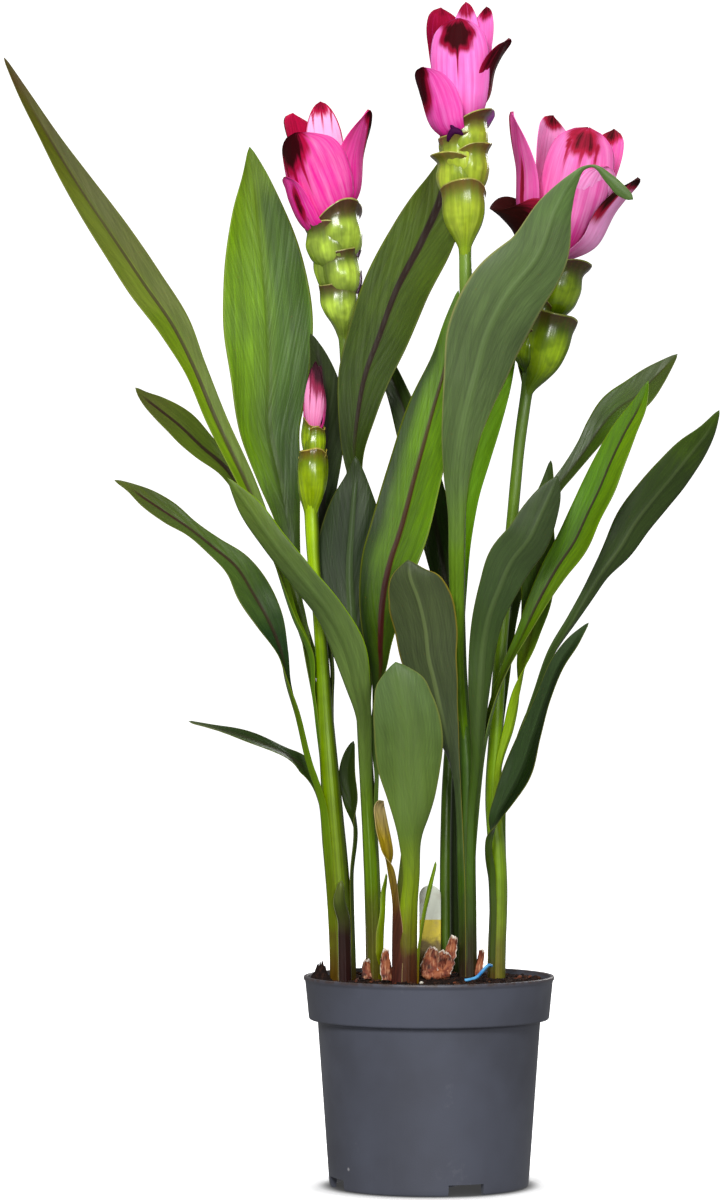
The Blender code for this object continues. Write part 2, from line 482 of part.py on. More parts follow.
def tube(name, points, sides, collection, colour=None):
    """A round stem along points (x, y, z, radius), as a bevelled curve with filled ends."""
    curve = bpy.data.curves.new(name, "CURVE")
    curve.dimensions = "3D"
    curve.bevel_depth = MM
    curve.bevel_resolution = max((sides - 4) // 2, 0)
    curve.use_fill_caps = True
    spline = curve.splines.new("POLY")
    spline.points.add(len(points) - 1)
    for point, (x, y, z, radius) in zip(spline.points, points):
        point.co = (x * MM, y * MM, z * MM, 1.0)
        point.radius = radius
    return add_object(name, curve, collection, colour)


def tube_solid(name, points, sides, collection, colour=None):
    """The same stem as a closed mesh, for joining."""
    drawn = tube(name, points, sides, collection)
    mesh = finished_mesh(drawn)
    bpy.data.objects.remove(drawn)
    shape = bmesh.new()
    shape.from_mesh(mesh)
    bmesh.ops.remove_doubles(shape, verts=shape.verts, dist=0.001 * MM)
    bmesh.ops.recalc_face_normals(shape, faces=shape.faces)
    shape.to_mesh(mesh)
    shape.free()
    return add_object(name, mesh, collection, colour)


def make_pot(collection):
    outer_band, inner = POT_TOP, POT_TOP - WALL
    band_foot = POT_HEIGHT - BAND
    profile = [
        (0.0, WALL), (CENTRE_DISC - 1.2, WALL), (CENTRE_DISC + 2.3, POT_FLOOR),
        (FLOOR_EDGE[0] - 1.8, POT_FLOOR), FLOOR_EDGE, SHOULDER, (inner - 2.4, band_foot + 1.8),
        (inner - 0.2, POT_HEIGHT), (outer_band + 0.4, POT_HEIGHT), (outer_band + 0.8, POT_HEIGHT - 0.7),
        (outer_band - 0.1, POT_HEIGHT - 2.6), (outer_band - 1.8, band_foot + 1.6),
        (outer_band - 2.3, band_foot + 0.4), (outer_band - 3.4, band_foot),
        (POT_BODY, band_foot - 0.8), (POT_FOOT, 2.0), (POT_FOOT - 0.5, 0.5), (POT_FOOT - 1.2, 0.0),
        (POT_FOOT - 2.8, 0.0), (POT_FOOT - 3.4, POT_FLOOR - WALL), (CENTRE_DISC + 3.0, POT_FLOOR - WALL),
        (CENTRE_DISC, 0.0), (0.0, 0.0)]
    pot = turned("nursery_pot", profile, POT_STEPS, collection, "pot_plastic")
    cutters = new_collection("pot_cutters")
    for turn in NOTCH_TURNS:
        angle = math.radians(turn - 90)
        bpy.ops.mesh.primitive_cube_add(size=1.0)
        notch = bpy.context.object
        add_cutter(notch, cutters)
        block = Vector((NOTCH_DEPTH, NOTCH_WIDTH, 2 * NOTCH_HEIGHT)) * MM
        notch.data.transform(Matrix.Diagonal((*block, 1.0)))
        notch.location = Vector((math.cos(angle), math.sin(angle), 0.0)) * (POT_FOOT - 0.5) * MM
        notch.rotation_euler.z = angle
        bpy.ops.mesh.primitive_cylinder_add(
            vertices=DRAIN_SIDES, radius=DRAIN_RADIUS * MM, depth=DRAIN_DEPTH * MM)
        drain = bpy.context.object
        add_cutter(drain, cutters)
        drain.location = Vector((math.cos(angle) * DRAIN_AT, math.sin(angle) * DRAIN_AT, POT_FLOOR)) * MM
    bpy.context.view_layer.update()
    boolean(pot, cutters, "DIFFERENCE")
    keep_main_body(pot.data)
    smooth(pot.data)


def move_to(obj, collection):
    for old in list(obj.users_collection):
        old.objects.unlink(obj)
    collection.objects.link(obj)


def add_cutter(obj, cutters):
    """Put a new cutter with the others, out of the render."""
    move_to(obj, cutters)
    obj.hide_render = True
    obj.display_type = "WIRE"


def soil_height(x, y):
    """Height of the soil's surface: a low heap with crumbs."""
    radius = math.hypot(x, y)
    heap = 3.2 * math.exp(-(radius / 34.0) ** 2)
    back = 1.6 * max(y, 0.0) / POT_TOP
    crumbs = 1.3 * noise.noise(Vector((x, y, 3.7)) / 7.0) + 0.8 * noise.noise(Vector((x, y, 9.1)) / 3.2)
    return SOIL_LEVEL + heap + back + crumbs * min(1.0, (57.5 - radius) / 6.0 + 0.35)


def make_soil(collection):
    edge = POT_TOP - WALL - 1.0
    profile = [(0.0, SOIL_LEVEL)]
    profile += [(edge * part, SOIL_LEVEL) for part in SOIL_RINGS]
    profile += [(edge - 1.9, SHOULDER[1] + 2.0), (SHOULDER[0] - 2 * GAP, SHOULDER[1]),
                (FLOOR_EDGE[0] - GAP, FLOOR_EDGE[1]), (FLOOR_EDGE[0] - 2.0, SOIL_FLOOR),
                (CENTRE_DISC + 3.8, SOIL_FLOOR), (0.0, SOIL_FLOOR)]
    soil = turned("potting_soil", profile, POT_STEPS, collection, "soil")
    mesh = finished_mesh(soil)
    soil.modifiers.clear()
    soil.data = mesh
    for vertex in mesh.vertices:
        if vertex.co.z > (SOIL_LEVEL - 1.0) * MM:
            vertex.co.z = soil_height(vertex.co.x / MM, vertex.co.y / MM) * MM
    cutters = new_collection("soil_cutters")
    hole_middle = ROOT_DEPTH + HOLE_LENGTH / 2
    for points in SHOOTS.values():
        x, y, _, radius = points[0]
        bpy.ops.mesh.primitive_cylinder_add(
            vertices=HOLE_SIDES, radius=(radius + HOLE_EXTRA) * MM, depth=HOLE_LENGTH * MM,
            location=(x * MM, y * MM, hole_middle * MM))
        add_cutter(bpy.context.object, cutters)
    width, thick, _ = LABEL_SIZE
    bpy.ops.mesh.primitive_cube_add(size=1.0)
    slot = bpy.context.object
    add_cutter(slot, cutters)
    size = Vector((width + 2 * GAP, thick + 2 * GAP, HOLE_LENGTH)) * MM
    slot.data.transform(Matrix.Diagonal((*size, 1.0)))
    slot.location = (LABEL_AT[0] * MM, LABEL_AT[1] * MM, hole_middle * MM)
    bpy.context.view_layer.update()
    boolean(soil, cutters, "DIFFERENCE")
    keep_main_body(soil.data)


def make_label(collection):
    width, thick, tall = LABEL_SIZE
    bpy.ops.mesh.primitive_cube_add(size=1.0)
    label = bpy.context.object
    label.name = "plant_label"
    move_to(label, collection)
    label.data.transform(Matrix.Diagonal((width * MM, thick * MM, tall * MM, 1.0)))
    label.location = (LABEL_AT[0] * MM, LABEL_AT[1] * MM, (ROOT_DEPTH + GAP + tall / 2) * MM)
    label.data.materials.append(material("label"))


def make_tie(collection):
    points = [(x, y, soil_height(x, y) + z, TIE_RADIUS) for x, y, z in TIE_ROUTE]
    tube("blue_tie", [tuple(p) for p in through(points, TIE_POINTS)], TIE_SIDES, collection, "tie")


def make_skin(collection):
    """Papery shards: curled strips that rise side by side from one strip on the soil."""
    pieces = new_collection("skin_pieces")
    along = np.linspace(0.0, 1.0, SKIN_ROWS + 1)
    folds = np.full(SKIN_ROWS + 1, math.radians(SKIN_FOLD))
    widths = np.interp(along, [0.0, 0.3, 0.7, 1.0], [0.8, 1.0, 0.75, 0.25])
    for x, y, lean, height, half, turn in SKINS:
        foot = soil_height(x, y) + SKIN_SINK
        bulge = y + 1.5 * np.sin(3.0 * along)
        spine = np.stack([x + lean * along**1.5, bulge, foot + height * along], axis=1)
        facing = math.radians(turn)
        normals = np.tile([math.sin(facing), math.cos(facing), 0.1], (SKIN_ROWS + 1, 1))
        sheet = ribbon(spine, half * widths, folds, normals, SKIN_COLUMNS, wave=1.0)
        add_solid("shard", sheet, pieces)
    strip = [(x, y, soil_height(x, y) + SKIN_LIFT, radius) for x, y, radius in SKIN_FOOT]
    base = tube_solid("rhizome_skin", strip, 6, collection, "rhizome_skin")
    boolean(base, pieces, "UNION", "MANIFOLD")
    keep_main_body(base.data)


def leaf_line(leaf):
    """Spine, half widths, folds and upper-side directions of a leaf from its foot to its tip."""
    turn = math.radians(leaf["turn"])
    outward = np.array([math.cos(turn), math.sin(turn), 0.0])
    wrap = math.radians(leaf["wrap"])
    fold = math.radians(leaf["fold"])
    rooted = leaf["low"] < SOIL_LEVEL
    clasp = np.linspace(leaf["low"], leaf["high"], CLASP_ROWS)
    rows, folds, faces = [], [], []
    for number, height in enumerate(clasp):
        x, y, z, radius = stem_at(leaf["shoot"], height)
        radius += CLASP_GAP + CLASP_FLARE * (number / (CLASP_ROWS - 1)) ** 2
        half = radius * wrap
        if number == CLASP_ROWS - 1:
            half = min(half, leaf["route"][0][3] * 1.1)
        if number == 0 and not rooted:
            half = FOOT_HALF
        rows.append((x + outward[0] * radius, y + outward[1] * radius, z, half))
        folds.append(wrap)
        faces.append(-outward)
    blade_from = max(len(leaf["route"]) // 3, 1)
    for number, point in enumerate(leaf["route"]):
        part = min(number / blade_from, 1.0)
        rows.append(point)
        folds.append(math.radians(NECK_FOLD) * (1 - part) + fold * part)
        faces.append(-outward * (1 - part) + np.array(leaf["face"]) * part)
    table = np.hstack([np.array(rows, dtype=float), np.array(folds)[:, None], np.array(faces)])
    line = through(table, leaf["rows"])
    return line[:, :3], np.maximum(line[:, 3], EDGE_HALF), line[:, 4], unit(line[:, 5:8])


def make_leaves(collection):
    for name, leaf in LEAVES.items():
        spine, halves, folds, faces = leaf_line(leaf)
        mesh = ribbon(spine, halves, folds, faces, LEAF_COLUMNS, leaf["wave"], LEAF_RIPPLES)
        made = add_object(name, mesh, collection, leaf["colour"])
        thicken(made, BLADE)
        smooth(mesh, 60)


def bract_mesh(turn, foot, rise, reach, half, curl, blunt):
    """One bract in the head's frame: a cupped strip whose back follows a curve out from the axis."""
    side = np.array([math.cos(math.radians(turn)), math.sin(math.radians(turn)), 0.0])
    rows = GREEN_ROWS if blunt else PINK_ROWS
    shape = through([(1.5, 0, foot), (0.72 * reach, 0, foot + 0.22 * rise), (reach, 0, foot + 0.62 * rise),
                     (reach + curl, 0, foot + rise)], rows + 1)
    spine = shape[:, :1] * side + shape[:, 2:3] * np.array([0.0, 0.0, 1.0])
    along = np.linspace(0.0, 1.0, rows + 1)
    halves = half * np.interp(along, [0.0, 0.25, 0.5, 0.75, 1.0],
                              [0.35, 0.92, 1.0, 0.86, 0.45] if blunt else [0.35, 0.80, 1.0, 0.78, 0.07])
    folds = halves / (0.55 * shape[:, 0] + 0.45 * reach + 1.0)
    normals = -side + np.array([0.0, 0.0, 0.05]) * along[:, None]
    return ribbon(spine, halves, folds, normals, BRACT_COLUMNS)


def head_place(shoot):
    """Matrix that stands a head on its shoot's top."""
    x, y, z, _ = SHOOTS[shoot][-1]
    lean = Matrix.Rotation(math.radians(HEADS[shoot]["lean"]), 4, "Y")
    return Matrix.Translation(Vector((x, y, z)) * MM) @ lean


def fuse_bracts(base, bracts, place, blunt, collection):
    pieces = new_collection(base.name + "_bracts")
    for bract in bracts:
        add_solid("bract", bract_mesh(*bract, blunt), pieces, place)
    boolean(base, pieces, "UNION", "MANIFOLD")
    keep_main_body(base.data)
    smooth(base.data, 50)


def make_heads(collection):
    for shoot, head in HEADS.items():
        place = head_place(shoot)
        top = place @ Vector((0.0, 0.0, 1.0)) - place.translation
        along = [tuple(p) for p in through(SHOOTS[shoot], STALK_POINTS)]
        base = Vector(SHOOTS[shoot][-1][:3])
        along += [(*(base + top * height), radius) for height, radius in head["core"][1:]]
        stalk = tube_solid("flower_stalk_" + shoot, along, STEM_SIDES, collection, "stalk")
        fuse_bracts(stalk, head["green"], place, True, collection)
        foot = base + top * head["pink_foot"]
        core = [(*(foot + top * height), radius) for height, radius in head["pink_core"]]
        pink = tube_solid("pink_head_" + shoot, core, PINK_SIDES, collection, "pink")
        lifted = place @ Matrix.Translation((0.0, 0.0, head["pink_foot"] * MM))
        fuse_bracts(pink, head["pink"], lifted, False, collection)


def make_stems(collection):
    for shoot in ("young", "slim", "rear"):
        points = [tuple(p) for p in through(SHOOTS[shoot], STEM_POINTS)]
        tube("stem_" + shoot, points, STEM_SIDES, collection, "stalk")


for old_object in list(bpy.data.objects):
    bpy.data.objects.remove(old_object)

plant = new_collection("potted_siam_tulip")
make_pot(plant)
make_soil(plant)
make_label(plant)
make_tie(plant)
make_skin(plant)
make_stems(plant)
make_heads(plant)
make_leaves(plant)
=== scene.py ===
# Potted siam tulip: the finished surfaces, colours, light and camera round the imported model.
# Sizes are in millimetres and mm brings them to metres. +Z is up, the front is -Y, and the
# origin is the middle of the pot's underside. Colours are written as 0-255 screen values.
import math

import bpy
import numpy as np
from mathutils import Matrix, Vector, noise


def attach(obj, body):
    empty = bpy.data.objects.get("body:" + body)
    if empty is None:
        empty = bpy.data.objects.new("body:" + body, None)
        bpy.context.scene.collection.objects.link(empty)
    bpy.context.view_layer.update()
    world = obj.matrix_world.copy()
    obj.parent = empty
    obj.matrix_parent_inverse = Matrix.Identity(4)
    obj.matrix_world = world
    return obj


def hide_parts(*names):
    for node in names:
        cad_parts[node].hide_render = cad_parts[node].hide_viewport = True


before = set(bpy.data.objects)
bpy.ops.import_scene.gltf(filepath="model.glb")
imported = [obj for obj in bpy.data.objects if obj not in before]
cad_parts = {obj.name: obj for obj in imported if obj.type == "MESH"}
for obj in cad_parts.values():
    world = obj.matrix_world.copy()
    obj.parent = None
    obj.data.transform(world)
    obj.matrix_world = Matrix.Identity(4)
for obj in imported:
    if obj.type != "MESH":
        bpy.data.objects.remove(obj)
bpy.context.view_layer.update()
mm = 0.001
print("frame loaded:", len(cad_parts), "nodes")


# Numbers

def smoothStep(low, high, value):
    # 0 below low, 1 above high, an S curve between them
    t = np.clip((np.asarray(value, float) - low) / (high - low), 0.0, 1.0)
    return t * t * (3.0 - 2.0 * t)


def unitRows(vectors):
    # Each vector divided by its length
    return vectors / np.maximum(np.linalg.norm(vectors, axis=-1, keepdims=True), 1e-9)


def throughRows(rows, spots):
    # Cubic spans through the rows, read at spots (0 to 1) of the length. Each span joins two rows with
    # the slope that their neighbours give.
    rows = np.array(rows, float)
    at = np.concatenate([[0.0], np.cumsum(np.linalg.norm(np.diff(rows[:, :3], axis=0), axis=1))])
    slopes = np.gradient(rows, at, axis=0)
    wanted = np.asarray(spots, float) * at[-1]
    span = np.clip(np.searchsorted(at, wanted, side="right") - 1, 0, len(at) - 2)
    length = (at[span + 1] - at[span])[:, None]
    t = ((wanted - at[span]) / length[:, 0])[:, None]
    return ((2 * t**3 - 3 * t**2 + 1) * rows[span] + (t**3 - 2 * t**2 + t) * length * slopes[span]
            + (3 * t**2 - 2 * t**3) * rows[span + 1] + (t**3 - t**2) * length * slopes[span + 1])


def ripples(values, seed, count=4, low=1.0, high=3.0):
    # A smooth random line over values: a few sines with drawn frequencies and phases, about -1 to 1
    draw = np.random.default_rng(seed)
    rates = draw.uniform(low, high, count)
    phases = draw.uniform(0, 2 * np.pi, count)
    sizes = draw.uniform(0.4, 1.0, count)
    waves = np.sin(np.asarray(values)[..., None] * rates + phases) * sizes
    return waves.sum(-1) / sizes.sum()


def softened(values):
    # Each value as the mean of itself and three neighbours on either side
    return np.convolve(np.pad(values, 3, mode="edge"), np.ones(7) / 7, "valid")


# Meshes

def ringFaces(rows, around, closeEnd=True):
    # Faces of a closed skin whose rows are rings of `around` points. The first half of a ring runs one
    # way over the upper side and the second half runs back under it, so an end is closed by a strip of
    # faces between the two halves.
    ring = np.arange(around)
    row = np.arange(rows - 1)[:, None] * around
    here, after = row + ring, row + (ring + 1) % around
    walls = np.stack([here, after, after + around, here + around], axis=-1).reshape(-1, 4)
    half = around // 2
    near = np.arange(half - 1)
    cap = np.stack([near, near + 1, around - 2 - near, around - 1 - near], axis=-1)
    ends = [cap[:, ::-1], cap + (rows - 1) * around] if closeEnd else [cap[:, ::-1]]
    return np.concatenate([walls] + ends)


def spread(fields, shape):
    # Each field as one number a point
    return {key: np.broadcast_to(values, shape).ravel() for key, values in fields.items()}


def twoSided(top, bottom, fields):
    # A closed skin from an upper and an under side. A field is an array, or a pair with one for either side.
    def both(values):
        upper, under = values if isinstance(values, tuple) else (values, values)
        upper, under = (np.broadcast_to(side, top.shape[:2]) for side in (upper, under))
        return np.concatenate([upper, under[:, ::-1]], axis=1).ravel()

    points = np.concatenate([top, bottom[:, ::-1]], axis=1).reshape(-1, 3)
    faces = ringFaces(len(top), 2 * top.shape[1])
    return points, faces, {key: both(values) for key, values in fields.items()}


def arcStrip(spine, facing, radius, angle):
    # A strip whose rows are arcs round their spine: sides = run x facing, upright = sides x run, and a point
    # is spine + sides r sin(a) + upright r (1 - cos(a)). Its normal is upright cos(a) - sides sin(a).
    run = unitRows(np.gradient(spine, axis=0))
    sides = unitRows(np.cross(run, facing))
    upright = np.cross(sides, run)[:, None, :]
    sides = sides[:, None, :]
    sine, cosine = np.sin(angle)[..., None], np.cos(angle)[..., None]
    radius = np.broadcast_to(radius, angle.shape)[..., None]
    points = spine[:, None, :] + sides * radius * sine + upright * radius * (1 - cosine)
    return points, upright * cosine - sides * sine, upright


def joinSkins(skins):
    # Several skins (points, faces, fields) as one
    starts = np.cumsum([0] + [len(points) for points, _, _ in skins[:-1]])
    points = np.concatenate([skin[0] for skin in skins])
    faces = np.concatenate([skin[1] + start for skin, start in zip(skins, starts)])
    fields = {key: np.concatenate([skin[2][key] for skin in skins]) for key in skins[0][2]}
    return points, faces, fields


def addObject(name, data):
    made = bpy.data.objects.new(name, data)
    bpy.context.scene.collection.objects.link(made)
    return made


def makePiece(name, skin, material, slot, *nodes):
    # A mesh object from points in millimetres, four-sided faces and fields of one number a point. It rides
    # the root body and replaces the named nodes. `slot` is not used.
    points, faces, fields = skin
    mesh = bpy.data.meshes.new(name)
    mesh.vertices.add(len(points))
    mesh.vertices.foreach_set("co", (points * mm).astype(np.float32).ravel())
    mesh.loops.add(faces.size)
    mesh.loops.foreach_set("vertex_index", faces.astype(np.int32).ravel())
    mesh.polygons.add(len(faces))
    mesh.polygons.foreach_set("loop_start", np.arange(0, faces.size, 4, dtype=np.int32))
    mesh.update(calc_edges=True)
    for key, values in fields.items():
        mesh.attributes.new(key, "FLOAT", "POINT").data.foreach_set("value", values.astype(np.float32))
    mesh.validate()
    mesh.shade_smooth()
    piece = addObject(name, mesh)
    mesh.materials.append(material)
    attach(piece, "root")
    if nodes:
        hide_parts(*nodes)
    return piece


# Materials

def tone(red, green, blue):
    # A screen colour (0-255) as the linear colour that the shaders use
    return tuple(c / 12.92 if c <= 0.04045 else ((c + 0.055) / 1.055) ** 2.4
                 for c in (red / 255, green / 255, blue / 255))


def feed(tree, socket, value):
    # A socket takes another node's output, a screen colour or another fixed value
    if isinstance(value, bpy.types.NodeSocket):
        tree.links.new(value, socket)
    elif socket.type == "RGBA":
        socket.default_value = (*tone(*value), 1.0)
    else:
        socket.default_value = value


def addNode(tree, kind, values, **settings):
    node = tree.nodes.new("ShaderNode" + kind)
    for key, value in settings.items():
        setattr(node, key, value)
    for key, value in values.items():
        feed(tree, node.inputs[key], value)
    return node


def newMaterial(name, roughness=0.5, **fixed):
    # A Principled material; fixed values go straight on its sockets
    material = bpy.data.materials.new(name)
    material.use_nodes = True
    shader = material.node_tree.nodes["Principled BSDF"]
    shader.inputs["Roughness"].default_value = roughness
    for key, value in fixed.items():
        feed(material.node_tree, shader.inputs[key.replace("_", " ")], value)
    return material, material.node_tree, shader


def field(tree, name):
    # A number that each point of the mesh carries
    return addNode(tree, "Attribute", {}, attribute_name=name).outputs["Fac"]


def fieldsOf(tree, *names):
    return [field(tree, name) for name in names]


def calc(tree, operation, a, b=0.0):
    return addNode(tree, "Math", {0: a, 1: b}, operation=operation).outputs[0]


def times(tree, a, b):
    return calc(tree, "MULTIPLY", a, b)


def shaken(tree, value, drawn, amount):
    # A value moved up and down by noise: value + (drawn - 0.5) amount
    return calc(tree, "ADD", value, times(tree, calc(tree, "SUBTRACT", drawn, 0.5), amount))


def between(tree, value, low, high, start=0.0, end=1.0):
    # start below low, end above high, an S curve between them
    return addNode(tree, "MapRange", {"Value": value, "From Min": low, "From Max": high, "To Min": start,
                                      "To Max": end}, interpolation_type="SMOOTHSTEP").outputs["Result"]


def mixed(tree, factor, first, second):
    # The first colour where the factor is 0, the second where it is 1
    node = tree.nodes.new("ShaderNodeMix")
    node.data_type = "RGBA"
    feed(tree, node.inputs[0], factor)
    feed(tree, node.inputs[6], first)
    feed(tree, node.inputs[7], second)
    return node.outputs[2]


def shaded(tree, colour, factor):
    # A colour times a factor
    return addNode(tree, "VectorMath", {0: colour, "Scale": factor}, operation="SCALE").outputs[0]


def enriched(tree, colour, saturation, value):
    return addNode(tree, "HueSaturation", {"Saturation": saturation, "Value": value,
                                           "Color": colour}).outputs[0]


def cloud(tree, place, scale, detail=3.0, roughness=0.55):
    # Noise from about 0.3 to 0.7 at a place
    return addNode(tree, "TexNoise", {"Vector": place, "Scale": scale, "Detail": detail,
                                      "Roughness": roughness}).outputs["Fac"]


def drawnOut(tree, across, wide, along, tall, drawn, detail=3.0, roughness=0.6, scale=1.0):
    # Noise as long streaks: its place is `wide` times across and `tall` times along the surface
    place = addNode(tree, "CombineXYZ", {"X": times(tree, across, wide), "Y": times(tree, along, tall),
                                         "Z": drawn}).outputs[0]
    return cloud(tree, place, scale, detail, roughness)


def objectPlace(tree):
    return addNode(tree, "TexCoord", {}).outputs["Object"]


def colourBand(tree, value, stops):
    # Colours along a value from 0 to 1: stops are (place, screen colour)
    band = addNode(tree, "ValToRGB", {"Fac": value})
    elements = band.color_ramp.elements
    while len(elements) < len(stops):
        elements.new(0.5)
    for element, (place, colour) in zip(elements, stops):
        element.position = place
        element.color = (*tone(*colour), 1.0)
    return band.outputs["Color"]


def bumped(tree, shader, height, strength, distance):
    # Relief from a height of 0 to 1; distance is its depth in millimetres
    bump = addNode(tree, "Bump", {"Height": height, "Strength": strength, "Distance": distance * mm})
    tree.links.new(bump.outputs["Normal"], shader.inputs["Normal"])


# Shoots: points (x, y, z, radius) of each stem from the soil upwards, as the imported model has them
shoots = {
    "bud": [(-42, 4, 74.3, 6.0), (-42, 4, 101, 6.0), (-44, 4, 147, 5.6), (-47, 3, 186, 4.9),
            (-50, 3, 225, 3.9), (-52, 2, 259, 3.2), (-54, 1, 283, 2.9), (-56, 0, 305, 3.1),
            (-57, 0, 328, 3.6)],
    "left": [(-26.5, -12, 74.3, 4.0), (-26.5, -12, 104, 4.0), (-27.5, -11, 148, 3.9),
             (-29.5, -6, 187, 3.6), (-31.5, 0, 220, 3.4), (-33.5, 9, 259, 3.2),
             (-35, 20, 298, 3.0), (-36.5, 28, 332, 3.0), (-38.5, 35, 376, 3.0),
             (-41, 38, 413, 3.2)],
    "young": [(-12, -22, 74.3, 6.0), (-12, -22, 102, 6.0), (-11, -22, 139, 5.3),
              (-9.5, -22.5, 160, 4.4), (-9, -23, 174, 3.2)],
    "slim": [(8, 6, 74.3, 2.7), (8, 6, 114, 2.7), (8, 7, 158, 2.6), (9, 10, 196, 2.4),
             (12, 14, 236, 2.0)],
    "middle": [(19, 0, 74.3, 4.3), (19, 0, 102, 4.3), (18.5, 0, 157, 4.2), (18.5, 0, 196, 3.9),
               (15.5, 0, 240, 3.5), (14.5, 1, 273, 3.2), (15, 3, 331, 3.0), (17, 4, 390, 3.0),
               (18, 4, 428, 3.1), (17.5, 4, 455, 3.3)],
    "right": [(33, 12, 74.3, 4.4), (33, 12, 104, 4.4), (34, 12, 147, 4.3), (31.5, 12, 191, 4.0),
              (32.5, 11, 215, 3.5), (35, 11, 259, 3.1), (38.5, 11, 298, 2.9), (41.5, 11, 332, 2.8),
              (45, 11, 366, 2.8), (48, 11, 386, 3.1)],
    "rear": [(13, 22, 74.3, 2.3), (13, 22, 107, 2.3), (13, 22, 156, 2.3), (13.5, 22, 205, 2.1),
             (14, 24, 232, 1.8)],
}
soilLevel = 98.0


# Leaves. A leaf lies on its shoot's side `turn` (degrees from +X) from height `low` to `high`, where it
# wraps `wrap` degrees each way, then follows its route (x, y, z, half width). `face` is the way its upper
# side looks, `fold` how far its halves rise and `wave` its edges' ripple; with `rolled` the upper side turns
# that many degrees round the upright first. The rest is its look: colours along the upper and under sides,
# which on some leaves hold painted shade; a colour and amount for the half on either side (plus is to the
# right when the leaf points up and its upper side is seen), which sets in over `half`, a part of the way
# across and on some leaves is painted shade where that half lies in shadow; the rib's colour, its width in mm
# at the blade's foot and tip, and its strength at both; the edge's colour and amount; how strong the stripes
# are; `gloss`, its roughness; and `value`, how bright it is.
leafDefaults = dict(
    upper=[(0, (98, 124, 44)), (0.4, (104, 128, 46)), (1, (92, 110, 48))],
    under=[(0, (100, 126, 60)), (0.4, (104, 124, 84)), (1, (100, 118, 74))],
    plus=((104, 128, 50), 0.0), minus=((104, 128, 50), 0.0), half=(0.0, 0.35),
    rib=((70, 38, 40), 2.2, 0.8, 0.0, 0.0), edge=((170, 170, 95), 0.35),
    stripes=0.16, gloss=0.42, value=0.78, rolled=0.0)

